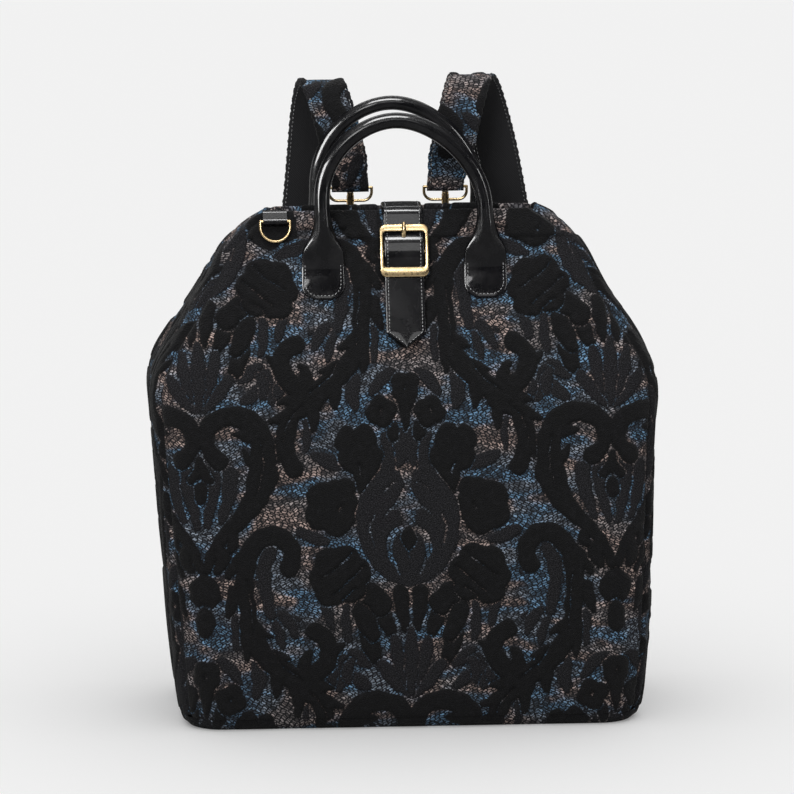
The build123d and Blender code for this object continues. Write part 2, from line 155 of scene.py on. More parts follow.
def new_piece(name, points, faces, material, body="bag", nodes=(), uv=None, values=None):
    """A smooth mesh object from points in millimetres and quads, riding on a body of the frame"""
    mesh = bpy.data.meshes.new(name)
    corners = faces.astype(np.int32).ravel()
    mesh.vertices.add(len(points))
    mesh.vertices.foreach_set("co", (points * METRE).astype(np.float32).ravel())
    mesh.loops.add(len(corners))
    mesh.loops.foreach_set("vertex_index", corners)
    mesh.polygons.add(len(faces))
    mesh.polygons.foreach_set("loop_start", np.arange(0, len(corners), faces.shape[1], dtype=np.int32))
    mesh.polygons.foreach_set("use_smooth", np.ones(len(faces), bool))
    if uv is not None:
        layer = mesh.uv_layers.new(name="cloth")
        layer.data.foreach_set("uv", uv[corners].astype(np.float32).ravel())
    for key, value in (values or {}).items():
        attribute = mesh.attributes.new(key, "FLOAT", "POINT")
        attribute.data.foreach_set("value", value.astype(np.float32).ravel())
    mesh.materials.append(material)
    mesh.update(calc_edges=True)
    mesh.validate()
    piece = bpy.data.objects.new(name, mesh)
    bpy.context.scene.collection.objects.link(piece)
    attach(piece, body)
    if nodes:
        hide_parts(*nodes)
    return piece


# Damask: shapes drawn once on a half tile in photo pixels, folded by the cloth's own symmetry.
# Across is the distance from the middle of the front, down is the photo's row.
TILE_HALF = 206
TILE_LENGTH = 574
TILE_DROP = 287
TILE_TOP = 180
CANVAS_MARGIN = 110
CONTOUR = 2.4
SWELL = 0.7
FAR = 99.0
BRUSH_STEP = 4.0
BRUSH_BLEND = 16.0
BRUSH_MARGIN = 8.0


class Damask:
    """Two signed distance maps, velvet and terry, painted shape over shape with a bare contour between"""

    def __init__(self):
        across = np.arange(-CANVAS_MARGIN, TILE_HALF + CANVAS_MARGIN + 1)
        down = np.arange(TILE_TOP - CANVAS_MARGIN, TILE_TOP + TILE_LENGTH + CANVAS_MARGIN)
        self.x, self.y = np.meshgrid(across.astype(float), down.astype(float))
        self.maps = {kind: np.full((TILE_LENGTH, TILE_HALF + 1), FAR) for kind in ("velvet", "terry")}

    def fold(self, distance):
        """The least of a shape's distance over its mirror, half drop and repeats, on the half tile"""
        rows = np.arange(TILE_LENGTH)
        columns = np.arange(TILE_HALF + 1)
        least = np.full((TILE_LENGTH, TILE_HALF + 1), FAR)
        images = [(columns, 0), (-columns, 0)]
        dropped = (TILE_HALF - columns, TILE_HALF + columns, columns - TILE_HALF)
        images += [(place, TILE_DROP) for place in dropped]
        for place, drop in images:
            inside = (place >= -CANVAS_MARGIN) & (place <= TILE_HALF + CANVAS_MARGIN)
            for turn in (-2, -1, 0, 1):
                row = rows + drop + turn * TILE_LENGTH + CANVAS_MARGIN
                shown = (row >= 0) & (row < distance.shape[0])
                if shown.any():
                    block = np.ix_(rows[shown], columns[inside])
                    seen = distance[np.ix_(row[shown], place[inside] + CANVAS_MARGIN)]
                    least[block] = np.minimum(least[block], seen)
        return least

    def paint(self, kind, distance):
        """Clears a contour round the shape in both maps, then lays the shape in its own"""
        shape = self.fold(distance)
        for name in self.maps:
            self.maps[name] = np.maximum(self.maps[name], CONTOUR - shape)
        self.maps[kind] = np.minimum(self.maps[kind], shape)

    def cut(self, distance):
        """Bares the ground inside the shape"""
        shape = self.fold(distance)
        for name in self.maps:
            self.maps[name] = np.maximum(self.maps[name], SWELL - shape)

    def sample(self, kind, across, down):
        """The map at any place of the cloth, between its four nearest points"""
        period = 2 * TILE_HALF
        x = np.abs(across) % period
        x = np.where(x > TILE_HALF, period - x, x)
        y = (down - TILE_TOP) % TILE_LENGTH
        left = np.minimum(x.astype(int), TILE_HALF - 1)
        top = y.astype(int) % TILE_LENGTH
        low = (top + 1) % TILE_LENGTH
        fx, fy = x - left, y - np.floor(y)
        data = self.maps[kind]
        upper = data[top, left] * (1 - fx) + data[top, left + 1] * fx
        lower = data[low, left] * (1 - fx) + data[low, left + 1] * fx
        return upper * (1 - fy) + lower * fy - SWELL

    # Shapes, each a signed distance over the canvas that is negative inside

    def stroke(self, *stations):
        """A brush line: round spots (across, down, radius) carried along a smoothed polyline"""
        line = smooth_path(stations, BRUSH_STEP, BRUSH_BLEND)
        low = line.min(axis=0) - line[:, 2].max() - BRUSH_MARGIN
        high = line.max(axis=0) + line[:, 2].max() + BRUSH_MARGIN
        near = (self.x > low[0]) & (self.x < high[0]) & (self.y > low[1]) & (self.y < high[1])
        x, y = self.x[near], self.y[near]
        least = np.full(x.shape, FAR)
        for (x0, y0, r0), (x1, y1, r1) in zip(line[:-1], line[1:]):
            dx, dy = x1 - x0, y1 - y0
            share = ((x - x0) * dx + (y - y0) * dy) / max(dx * dx + dy * dy, 1e-6)
            share = np.clip(share, 0, 1)
            reach = np.hypot(x - x0 - share * dx, y - y0 - share * dy)
            least = np.minimum(least, reach - (r0 + share * (r1 - r0)))
        distance = np.full(self.x.shape, FAR)
        distance[near] = least
        return distance

    def oval(self, across, down, half_width, half_height, turn=0.0):
        """An ellipse turned by an angle, its distance taken from its scaled radius"""
        c, s = math.cos(math.radians(turn)), math.sin(math.radians(turn))
        x = (self.x - across) * c + (self.y - down) * s
        y = (self.y - down) * c - (self.x - across) * s
        return (np.hypot(x / half_width, y / half_height) - 1) * min(half_width, half_height)

    def flower(self, across, down, radius, petals, depth, turn=0.0):
        """A round flower whose radius swells and shrinks once for each petal"""
        x, y = self.x - across, self.y - down
        lobes = np.abs(np.cos((np.arctan2(y, x) - math.radians(turn)) * petals / 2))
        return np.hypot(x, y) - radius * (1 - depth + depth * lobes)

    def profile(self, rows):
        """A shape on the axis given by half widths at rows (down, half width)"""
        rows = np.asarray(rows, float)
        half = np.interp(self.y, rows[:, 0], rows[:, 1], left=-FAR, right=-FAR)
        return np.abs(self.x) - half


def draw_damask():
    """The whole repeat: acanthus scrolls, hanging hearts, palmettes and a tulip among blossoms"""
    cloth = Damask()

    # Loose terry leaves that lie under everything
    for leaf in (
        [(52, 281, 4), (58, 292, 7), (62, 306, 7), (66, 320, 5), (74, 333, 2)],
        [(80, 334, 3), (86, 330, 5), (94, 331, 2)],
        [(141, 318, 3), (140, 337, 5), (143, 352, 3)],
        [(162, 376, 5), (153, 371, 8), (145, 364, 3)],
        [(161, 399, 4), (152, 393, 8), (144, 386, 4)],
        [(139, 372, 5), (138, 386, 7), (133, 400, 4)],
        [(109, 530, 4), (96, 536, 7), (82, 541, 3)],
        [(91, 455, 4), (78, 460, 8), (64, 466, 4)],
        [(50, 377, 5), (54, 392, 8), (50, 407, 3)],
        [(14, 373, 5), (25, 379, 7), (33, 393, 3)],
        [(30, 329, 4), (33, 343, 7), (31, 359, 3)],
        [(99, 420, 3), (98, 436, 4), (100, 449, 2)],
        [(141, 548, 8), (146, 562, 8), (146, 580, 5), (143, 600, 6), (140, 614, 4)],
        [(130, 612, 4), (121, 620, 6), (116, 634, 3)],
        [(136, 622, 3), (131, 634, 5), (129, 646, 2)],
        [(88, 600, 3), (83, 612, 5), (80, 625, 3)],
        [(82, 664, 3), (78, 676, 5), (84, 690, 3)],
        [(60, 660, 3), (66, 668, 6), (64, 682, 3)],
        [(14, 176, 6), (12, 200, 7), (5, 236, 3)],
        [(30, 184, 7), (29, 204, 7), (19, 232, 3)],
        [(118, 548, 3), (112, 560, 4), (113, 574, 2)],
    ):
        cloth.paint("terry", cloth.stroke(*leaf))

    # Palmette: a fan of velvet petals with five terry leaves in front
    for petal in (
        [(43, 634, 9), (40, 648, 9), (34, 662, 4)],
        [(49, 608, 9), (46, 621, 10), (38, 636, 6)],
        [(29, 604, 7), (26, 619, 8), (18, 637, 4)],
        [(10, 592, 7.5), (9, 607, 7), (6, 629, 3)],
    ):
        cloth.paint("velvet", cloth.stroke(*petal))
    for leaf in (
        [(30, 665, 5), (21, 677, 7), (10, 689, 5), (3, 696, 2)],
        [(17, 640, 4), (15, 654, 6.5), (10, 671, 5), (4, 687, 2)],
        [(0, 630, 3), (0, 645, 6.5), (0, 670, 6), (0, 694, 2)],
    ):
        cloth.paint("terry", cloth.stroke(*leaf))

    # Acanthus scrolls: hook and stem, then the limbs that leave it and the curl beside it
    stem = [(85, 279, 9), (91, 265, 8), (84, 251, 9), (70, 244, 9), (56, 250, 9), (46, 262, 9), (41, 279, 9),
            (40, 300, 8.5), (43, 320, 8), (43, 340, 8), (41, 357, 6), (41, 371, 2)]
    limbs = [
        stem,
        [(38, 268, 6), (29, 276, 6), (24, 287, 3)],
        [(28, 300, 4), (28, 314, 7), (22, 327, 2)],
        [(47, 336, 6), (56, 344, 5), (67, 348, 0.8)],
        [(44, 338, 8), (50, 355, 9), (60, 369, 10), (75, 382, 10), (92, 394, 11)],
        [(57, 364, 8), (70, 368, 7), (85, 371, 0.8)],
        [(72, 385, 8), (71, 396, 6.5), (70, 407, 2.5)],
        [(109, 343, 9), (120, 348, 8), (125, 363, 8.5), (120, 377, 9), (107, 388, 9), (92, 395, 11)],
        [(120, 369, 7), (130, 361, 6), (138, 355, 1)],
        [(96, 390, 7), (99, 377, 6), (98, 370, 6), (104, 365, 3)],
        [(98, 396, 9), (112, 398, 7), (127, 401, 1.5)],
        [(90, 402, 8), (112, 411, 8), (138, 421, 2)],
        [(92, 399, 6), (92, 413, 6), (92, 427, 3)],
        [(112, 410, 8), (118, 424, 9), (121, 438, 9), (119, 453, 7.5), (112, 467, 9)],
        [(124, 440, 7), (130, 450, 5), (128, 459, 1)],
    ]
    scroll = cloth.stroke(*limbs[0])
    for limb in limbs[1:]:
        scroll = np.minimum(scroll, cloth.stroke(*limb))
    cloth.paint("velvet", scroll)
    for line in (
        [(60, 350, 0.2), (76, 378, 0.5), (96, 392, 0.2)],
        [(43, 290, 0.1), (46, 318, 0.4), (48, 345, 0.1)],
        [(104, 404, 0.1), (118, 420, 0.4), (123, 440, 0.1)],
    ):
        cloth.cut(cloth.stroke(*line))

    # Hanging heart: two curled leaves that meet on the axis, with lobes, a drop and a pendant below
    heart = cloth.stroke(
        (19, 171, 9), (8, 161, 6), (5, 147, 8), (11, 133, 9), (26, 127, 9), (43, 127, 10), (55, 135, 11),
        (63, 151, 11), (63, 171, 12), (59, 193, 13), (53, 213, 11), (37, 231, 8), (21, 246, 6), (9, 262, 5),
        (3, 280, 4))
    for lobe in (
        [(50, 146, 7), (42, 145, 5), (33, 145, 1)],
        [(66, 172, 6), (72, 186, 8), (66, 203, 4)],
        [(54, 176, 6), (47, 170, 4), (43, 160, 1)],
        [(26, 244, 4), (33, 252, 6), (28, 259, 4)],
        [(14, 258, 5), (22, 268, 8), (14, 280, 4)],
    ):
        heart = np.minimum(heart, cloth.stroke(*lobe))
    cloth.paint("velvet", heart)
    cloth.cut(cloth.stroke((60, 150, 0.1), (64, 176, 0.5), (56, 206, 0.1)))
    cloth.paint("velvet", cloth.stroke((0, 170, 3), (0, 182, 6), (9, 190, 4)))
    cloth.paint("velvet", cloth.oval(0, 203, 6, 11))
    cloth.paint("velvet", cloth.profile([(283, 0), (288, 8), (296, 15), (308, 16), (316, 10), (320, 5)]))
    cloth.paint("velvet", cloth.oval(0, 333, 9, 15))

    # Roses beside the tulip, each with creases between its petals
    rose = cloth.flower(75, 506, 29, 5, 0.16, 30)
    cloth.paint("velvet", np.minimum(rose, cloth.oval(64, 488, 13, 10, 20)))
    cloth.cut(cloth.stroke((66, 504, 0.2), (69, 510, 0.9)))
    under = np.minimum(cloth.oval(41, 593, 18, 11, -28), cloth.oval(30, 603, 11, 12, 0))
    cloth.paint("velvet", under)
    rose = np.minimum(cloth.flower(70, 574, 31, 6, 0.15, 10), cloth.oval(82, 592, 13, 12))
    cloth.paint("velvet", rose)
    for line in (
        [(46, 566, 0.3), (58, 577, 0.6), (78, 594, 0.2)],
        [(56, 550, 0.3), (66, 562, 0.5), (88, 576, 0.2)],
        [(54, 588, 0.2), (62, 592, 0.4), (70, 602, 0.2)],
    ):
        cloth.cut(cloth.stroke(*line))
    lily = np.minimum(cloth.oval(61, 438, 9, 13, -20), cloth.oval(41, 438, 11, 15, 15))
    lily = np.minimum(lily, np.minimum(cloth.oval(48, 456, 20, 17), cloth.oval(33, 460, 11, 15)))
    cloth.paint("velvet", np.minimum(lily, cloth.stroke((43, 470, 11), (46, 492, 2))))
    cloth.cut(cloth.stroke((49, 463, 0.3), (45, 467, 1.0), (46, 474, 0.3)))

    # Tulip with its slot, ring and drop
    cloth.paint("terry", cloth.profile([
        (427, 12), (433, 26), (445, 23), (456, 21), (467, 25), (479, 34), (496, 47), (510, 51), (525, 51),
        (540, 49), (552, 45), (570, 33), (582, 18), (587, 0)]))
    cloth.cut(cloth.profile([
        (458, 0), (466, 4), (468, 13), (470, 7), (476, 5), (483, 3), (495, 7), (504, 14), (507, 17), (509, 9),
        (518, 6), (526, 8), (528, 0)]))
    for line in (
        [(3, 526, 3.4), (14, 531, 3.6), (21, 543, 3.4), (19, 556, 2.4), (10, 574, 0.8)],
        [(34, 513, 0.6), (40, 529, 1.3), (34, 546, 0.5)],
        [(15, 438, 0.7), (10, 456, 0.8), (12, 470, 0.7)],
        [(9, 482, 0.6), (18, 484, 0.8), (24, 492, 0.6)],
        [(14, 506, 0.7), (20, 509, 0.8), (24, 518, 0.6)],
        [(0, 553, 0.7), (0, 560, 0.5)],
    ):
        cloth.cut(cloth.stroke(*line))
    cloth.paint("velvet", cloth.profile([(525, 0), (529, 4), (538, 7.5), (544, 6), (551, 0)]))

    # Sprig of three blossoms above the tulip
    cloth.paint("velvet", cloth.stroke((12, 420, 2), (14, 430, 7), (12, 437, 4)))
    cloth.paint("velvet", cloth.flower(24, 411, 16, 4, 0.2, 20))
    crown = cloth.flower(0, 386, 15, 4, 0.18, 45)
    cloth.paint("velvet", np.minimum(crown, cloth.stroke((0, 396, 9), (0, 430, 1))))
    cloth.cut(cloth.stroke((0, 386, 0.8), (0, 390, 0.6)))
    cloth.cut(cloth.stroke((24, 409, 0.6), (25, 413, 0.8)))
    return cloth


DAMASK = draw_damask()

# Materials

class Shader:
    """A material's node tree with short calls for what the finishes here need"""

    def __init__(self, name, **sockets):
        self.material = bpy.data.materials.new(name)
        self.material.use_nodes = True
        self.tree = self.material.node_tree
        self.surface = self.tree.nodes["Principled BSDF"]
        for socket, value in sockets.items():
            self.surface.inputs[socket.replace("_", " ")].default_value = value

    def node(self, kind, settings=None, **inputs):
        """A node with its settings, and its inputs linked or set by name"""
        node = self.tree.nodes.new("ShaderNode" + kind)
        for key, value in (settings or {}).items():
            setattr(node, key, value)
        for key, value in inputs.items():
            self.put(node.inputs[key.replace("_", " ")], value)
        return node

    def put(self, socket, value):
        """Links an output to a socket, or sets the socket's own value"""
        if isinstance(value, bpy.types.NodeSocket):
            self.tree.links.new(value, socket)
        else:
            socket.default_value = value

    def math(self, operation, *values):
        """One number from others"""
        node = self.tree.nodes.new("ShaderNodeMath")
        node.operation = operation
        for socket, value in zip(node.inputs, values):
            self.put(socket, value)
        return node.outputs[0]

    def ramp(self, value, low, high, to_low=0.0, to_high=1.0, smooth=True):
        """A number taken from one range to another, held at the ends"""
        node = self.tree.nodes.new("ShaderNodeMapRange")
        node.interpolation_type = "SMOOTHSTEP" if smooth else "LINEAR"
        for socket, number in zip(node.inputs, (value, low, high, to_low, to_high)):
            self.put(socket, number)
        return node.outputs[0]

    def mix(self, share, first, second):
        """A colour between two colours"""
        node = self.tree.nodes.new("ShaderNodeMix")
        node.data_type = "RGBA"
        self.put(node.inputs[0], share)
        self.put(node.inputs[6], first)
        self.put(node.inputs[7], second)
        return node.outputs[2]

    def noise(self, vector, scale, detail=2.0, roughness=0.5):
        """Smooth noise over a vector"""
        noise = self.node("TexNoise", None, Vector=vector, Scale=scale, Detail=detail, Roughness=roughness)
        return noise.outputs[0]

    def place(self):
        """The object's own coordinates, in metres"""
        return self.node("TexCoord").outputs["Object"]

    def value(self, name):
        """A number carried by the mesh's points"""
        return self.node("Attribute", {"attribute_name": name}).outputs["Fac"]

    def bump(self, height, strength, distance):
        """A bump for the surface's normal"""
        bump = self.node("Bump", None, Height=height, Strength=strength, Distance=distance)
        self.tree.links.new(bump.outputs[0], self.surface.inputs["Normal"])

    def paint(self, socket, value):
        """Feeds an input of the surface"""
        self.put(self.surface.inputs[socket], value)


# Cloth colours, as light returned
VELVET_DARK = (0.0012, 0.0012, 0.0015, 1)
VELVET_LIGHT = (0.0042, 0.0042, 0.0050, 1)
TERRY_DARK = (0.0030, 0.0030, 0.0036, 1)
TERRY_LIGHT = (0.0230, 0.0226, 0.0258, 1)
WARP_DARK = (0.0040, 0.0042, 0.0052, 1)
THREAD_BLUE = (0.110, 0.210, 0.325, 1)
THREAD_ROSE = (0.345, 0.258, 0.228, 1)
THREAD_GREY = (0.205, 0.203, 0.212, 1)
DASH_PITCH = 2.35
DASH_LENGTH = 5.4
DASH_ANGLE = math.radians(28.0)
DASH_SWAY = 6.0
DASH_DIM = 0.15
DASH_BRIGHT = 1.05
DASH_CONTRAST = 1.3
EDGE_FUZZ = 0.9
VELVET_SHEEN = 0.025


def dashes(shader, across, down, angle):
    """Short straight threads at an angle: rows at an even pitch, each cut into runs from a start of its own,
    and each run with its own brightness"""
    c, s = math.cos(angle), math.sin(angle)
    run = shader.math("ADD", shader.math("MULTIPLY", across, c), shader.math("MULTIPLY", down, s))
    rise = shader.math("SUBTRACT", shader.math("MULTIPLY", down, c), shader.math("MULTIPLY", across, s))
    uneven = shader.node("CombineXYZ", None, X=across, Y=down).outputs[0]
    sway = shader.math("MULTIPLY", shader.noise(uneven, 0.16, 2.0), DASH_SWAY)
    row = shader.math("DIVIDE", shader.math("ADD", rise, sway), DASH_PITCH)
    line = shader.math("FLOOR", row)
    start = shader.node("TexWhiteNoise", {"noise_dimensions": "1D"}, W=line).outputs[0]
    place = shader.math("ADD", shader.math("DIVIDE", run, DASH_LENGTH), shader.math("MULTIPLY", start, 5.0))
    key = shader.node("CombineXYZ", None, X=line, Y=shader.math("FLOOR", place)).outputs[0]
    tone = shader.node("TexWhiteNoise", {"noise_dimensions": "2D"}, Vector=key).outputs[0]
    from_run = shader.math("ABSOLUTE", shader.math("SUBTRACT", shader.math("FRACT", place), 0.5))
    from_row = shader.math("ABSOLUTE", shader.math("SUBTRACT", shader.math("FRACT", row), 0.5))
    body = shader.math("MULTIPLY", shader.ramp(from_run, 0.44, 0.28), shader.ramp(from_row, 0.44, 0.14))
    brightness = shader.ramp(tone, 0.0, 1.0, DASH_DIM, DASH_BRIGHT, False)
    return shader.math("MULTIPLY", body, shader.math("POWER", brightness, DASH_CONTRAST))


def damask_finish():
    """Cloth in three heights: bare ground of short twill dashes in blue and rose,
    looped terry and cut velvet"""
    shader = Shader("damask", Roughness=0.86, Specular_IOR_Level=0.15)
    uv = shader.node("UVMap", {"uv_map": "cloth"}).outputs[0]
    parts = shader.node("SeparateXYZ", None, Vector=uv)
    across, down = parts.outputs[0], parts.outputs[1]
    fuzz = shader.math("MULTIPLY", shader.math("SUBTRACT", shader.noise(uv, 0.55, 3.0), 0.5), EDGE_FUZZ * 2)
    velvet = shader.ramp(shader.math("ADD", shader.value("velvet"), fuzz), 0.7, -0.7)
    terry = shader.ramp(shader.math("ADD", shader.value("terry"), fuzz), 0.6, -0.6)

    turned = shader.ramp(shader.noise(uv, 0.03, 1.0), 0.495, 0.505)
    falling = dashes(shader, across, down, DASH_ANGLE)
    rising = dashes(shader, across, down, -DASH_ANGLE)
    dash = shader.math("ADD", shader.math("MULTIPLY", rising, turned),
                       shader.math("MULTIPLY", falling, shader.math("SUBTRACT", 1.0, turned)))
    stretch = shader.node("Mapping", None, Vector=uv, Scale=(0.55, 1.25, 1.0)).outputs[0]
    rose = shader.ramp(shader.noise(stretch, 0.021, 2.5, 0.55), 0.47, 0.56)
    grey = shader.ramp(shader.noise(stretch, 0.034, 2.0, 0.5), 0.42, 0.62)
    thread = shader.mix(rose, THREAD_BLUE, THREAD_ROSE)
    thread = shader.mix(shader.math("MULTIPLY", grey, 0.7), thread, THREAD_GREY)
    shade = shader.ramp(shader.noise(uv, 0.07, 4.0, 0.65), 0.34, 0.66, 0.35, 1.15)
    ground = shader.mix(shader.math("MULTIPLY", dash, shade), WARP_DARK, thread)

    loops = shader.noise(uv, 0.85, 2.0, 0.7)
    loop_tops = shader.ramp(loops, 0.42, 0.72)
    terry_colour = shader.mix(loop_tops, TERRY_DARK, TERRY_LIGHT)
    nap = shader.noise(uv, 0.16, 4.0, 0.65)
    velvet_colour = shader.mix(shader.ramp(nap, 0.45, 0.80), VELVET_DARK, VELVET_LIGHT)
    cloth = shader.mix(terry, ground, terry_colour)
    shader.paint("Base Color", shader.mix(velvet, cloth, velvet_colour))
    shader.paint("Sheen Weight", shader.math("MULTIPLY", velvet, VELVET_SHEEN))

    relief = shader.math("MULTIPLY", dash, 0.45)
    relief = shader.math("ADD", relief, shader.math("MULTIPLY", shader.math("MULTIPLY", loops, terry), 1.3))
    relief = shader.math("ADD", relief, shader.math("MULTIPLY", shader.noise(uv, 0.9, 2.0), velvet))
    shader.bump(relief, 0.9, 0.0012)
    return shader.material


LEATHER_COLOUR = (0.0026, 0.0026, 0.0031, 1)
LEATHER_WORN = (0.0065, 0.0064, 0.0070, 1)


def leather_finish():
    """Smooth black calf: fine grain, faint mottling and an even gloss"""
    shader = Shader("black_leather", Specular_IOR_Level=0.035, Coat_Weight=0.17, Coat_Roughness=0.06)
    place = shader.place()
    mottle = shader.noise(place, 55.0, 4.0, 0.6)
    cells = shader.node("TexVoronoi", {"feature": "DISTANCE_TO_EDGE"}, Vector=place, Scale=1500.0).outputs[0]
    pores = shader.noise(place, 2600.0, 2.0)
    shader.paint("Base Color", shader.mix(shader.ramp(mottle, 0.4, 0.75), LEATHER_COLOUR, LEATHER_WORN))
    shader.paint("Roughness", shader.ramp(mottle, 0.3, 0.75, 0.18, 0.28))
    grain = shader.math("ADD", shader.ramp(cells, 0.0, 0.12), shader.math("MULTIPLY", pores, 0.5))
    shader.bump(grain, 0.16, 0.0002)
    return shader.material


BRASS_BRIGHT = (0.40, 0.30, 0.165, 1)
BRASS_DULL = (0.17, 0.115, 0.052, 1)


def brass_finish():
    """Antique brass: warm metal with darker patches and fine scratches"""
    shader = Shader("antique_brass", Metallic=1.0)
    place = shader.place()
    tarnish = shader.noise(place, 240.0, 5.0, 0.65)
    brushed = shader.node("Mapping", None, Vector=place, Scale=(0.12, 1.0, 1.0)).outputs[0]
    scratches = shader.noise(brushed, 4200.0, 3.0)
    shader.paint("Base Color", shader.mix(shader.ramp(tarnish, 0.48, 0.80), BRASS_BRIGHT, BRASS_DULL))
    shader.paint("Roughness", shader.ramp(tarnish, 0.30, 0.75, 0.20, 0.40))
    shader.bump(scratches, 0.08, 0.0002)
    return shader.material


LINING_COLOUR = (0.0040, 0.0040, 0.0046, 1)
LINING_LIGHT = (0.0110, 0.0110, 0.0125, 1)


def lining_finish(name, scale):
    """Plain black twill: fine diagonal ribs"""
    shader = Shader(name, Roughness=0.8, Specular_IOR_Level=0.25)
    twill = (0.0, math.radians(45), 0.0)
    turned = shader.node("Mapping", None, Vector=shader.place(), Rotation=twill).outputs[0]
    wave = shader.node("TexWave", None, Vector=turned, Scale=scale, Distortion=1.2, Detail=2.0)
    ribs = wave.outputs["Fac"]
    shader.paint("Base Color", shader.mix(ribs, LINING_COLOUR, LINING_LIGHT))
    shader.bump(ribs, 0.5, 0.0004)
    return shader.material


THREAD_COLOUR = (0.0060, 0.0060, 0.0068, 1)
THREAD_SHEEN = (0.0260, 0.0260, 0.0280, 1)
THREAD_TWIST = 900.0


def stitch_finish():
    """Waxed black thread: two plies that twist along each stitch, with a painted sheen along each ply"""
    shader = Shader("stitch_thread", Roughness=0.45, Specular_IOR_Level=0.45)
    wave = shader.node("TexWave", {"bands_direction": "DIAGONAL"}, Vector=shader.place(), Scale=THREAD_TWIST)
    twist = wave.outputs["Fac"]
    # The lighter bands along the twist are a painted sheen, mixed into the thread's colour
    shader.paint("Base Color", shader.mix(twist, THREAD_COLOUR, THREAD_SHEEN))
    shader.bump(twist, 0.4, 0.0002)
    return shader.material


BOARD_DARK = (0.030, 0.027, 0.024, 1)
BOARD_LIGHT = (0.11, 0.10, 0.09, 1)


def board_finish():
    """Grey fibre board: pressed flecks"""
    shader = Shader("fibre_board", Roughness=0.85)
    flecks = shader.noise(shader.place(), 700.0, 4.0, 0.7)
    shader.paint("Base Color", shader.mix(flecks, BOARD_DARK, BOARD_LIGHT))
    shader.bump(flecks, 0.3, 0.0004)
    return shader.material


DAMASK_CLOTH = damask_finish()
LEATHER = leather_finish()
BRASS = brass_finish()
LINING = lining_finish("bag_lining", 420.0)
STRAP_BACK = lining_finish("strap_backing", 330.0)
THREAD = stitch_finish()
BOARD = board_finish()

# The photo's view: the bag is seen from a little above and from its left, with a long lens
VIEW_TILT = math.radians(12.8)
VIEW_TURN = math.radians(-4.0)
AXIS_COLUMN = 401.5
FLOOR_ROW = 730.0
FLOOR_REACH = 73.0


def photo_row(depth, height):
    """The photo's row of a point of the front, from its depth and height"""
    return FLOOR_ROW - (height * math.cos(VIEW_TILT) + (depth + FLOOR_REACH) * math.sin(VIEW_TILT)) / PIXEL


# Bag body

VELVET_HEIGHT = 1.7
TERRY_HEIGHT = 0.9
VELVET_RISE = (0.8, -3.2)
TERRY_RISE = (0.6, -1.8)
RIPPLE_HEIGHT = 0.6
SLACK_RUN = 40.0
FLOOR_ROLL = 4.0
SEAM_TUCK = 1.6
SEAM_ROLL = 5.0
BASE_ROLL = 2.0
BASE_SHIFT = 4.0
LEAN_LOW = 40.0
LEAN_HIGH = 240.0
FRONT_COLUMNS = 300
FRONT_ROWS = 296
BACK_COLUMNS = 220
BACK_ROWS = 216
GUSSET_COLUMNS = 110
GUSSET_ROWS = 230
EDGE_JITTER = 0.5
PATTERN_SHIFT = 2.0
GUSSET_SHIFT = 90.0


def body_rows(height):
    """Half width, half depth and corner radius at heights: rows joined by straight runs with soft bends"""
    room = np.minimum(ROW_BLEND, np.minimum(height * 0.5, BAG_HEIGHT - height))
    where = (height[..., None] + room[..., None] * np.linspace(-1, 1, ROW_TAPS)) / BAG_HEIGHT
    sizes = []
    for column, size in enumerate((HALF_WIDTH, HALF_DEPTH, CORNER), start=1):
        sizes.append(np.interp(where, BODY_SHARES[:, 0], BODY_SHARES[:, column]).mean(axis=-1) * size)
    return sizes


def front_depth(height):
    """Distance of the front or back cloth from the middle plane"""
    return body_rows(np.asarray(height, float))[1]


def body_lean(height):
    """The base stands a little to one side of the mouth, as in a filled bag"""
    return BASE_SHIFT * (1 - smooth_step(LEAN_LOW, LEAN_HIGH, height))


def ripple(across, down):
    """Slow uneven waves of a soft wall, a sum of four sines"""
    return (0.9 * np.sin(across / 41 + 0.6) * np.sin(down / 57 + 1.1)
            + 0.5 * np.sin(across / 23 + down / 71 + 2.0)
            + 0.35 * np.sin(down / 19 - across / 83 + 0.4))


def pile(across, down):
    """Velvet and terry distances with a woven edge, and the height of the pile over the ground"""
    x = across + EDGE_JITTER * (np.sin(down / 3.1 + across / 7.7) + 0.6 * np.sin(across / 2.3 - down / 5.9))
    y = down + EDGE_JITTER * (np.sin(across / 3.7 - down / 8.3) + 0.6 * np.sin(down / 2.6 + across / 6.1))
    velvet = DAMASK.sample("velvet", x, y)
    terry = DAMASK.sample("terry", x, y)
    height = VELVET_HEIGHT * smooth_step(*VELVET_RISE, velvet)
    height = np.maximum(height, TERRY_HEIGHT * smooth_step(*TERRY_RISE, terry))
    return velvet, terry, height


def grid_normals(points):
    """Unit normals of a grid, from its two directions"""
    return unit(np.cross(np.gradient(points, axis=1), np.gradient(points, axis=0)))


def raise_cloth(points, across, down, seam_room, base_room, calm):
    """Pushes a grid out by its pile and ripples, and tucks its sides in at the seams"""
    velvet, terry, height = pile(across, down)
    roll = smooth_step(0, SEAM_ROLL, seam_room) * smooth_step(-BASE_ROLL, BASE_ROLL, base_room)
    slack = smooth_step(0, SLACK_RUN, np.minimum(seam_room, base_room))
    lift = (height * roll + RIPPLE_HEIGHT * ripple(across, down) * slack) * calm
    lift -= SEAM_TUCK * (1 - smooth_step(-0.1, SEAM_ROLL, seam_room))
    return points + grid_normals(points) * lift[..., None], velvet, terry


def cloth_piece(name, points, across, down, velvet, terry, node):
    """A grid of damask as a piece that stands for a node"""
    rows, columns = across.shape
    uv = np.stack([across, down], axis=-1).reshape(-1, 2)
    return new_piece(name, points.reshape(-1, 3), grid_faces(rows, columns), DAMASK_CLOTH, nodes=(node,),
                     uv=uv, values={"velvet": velvet, "terry": terry})


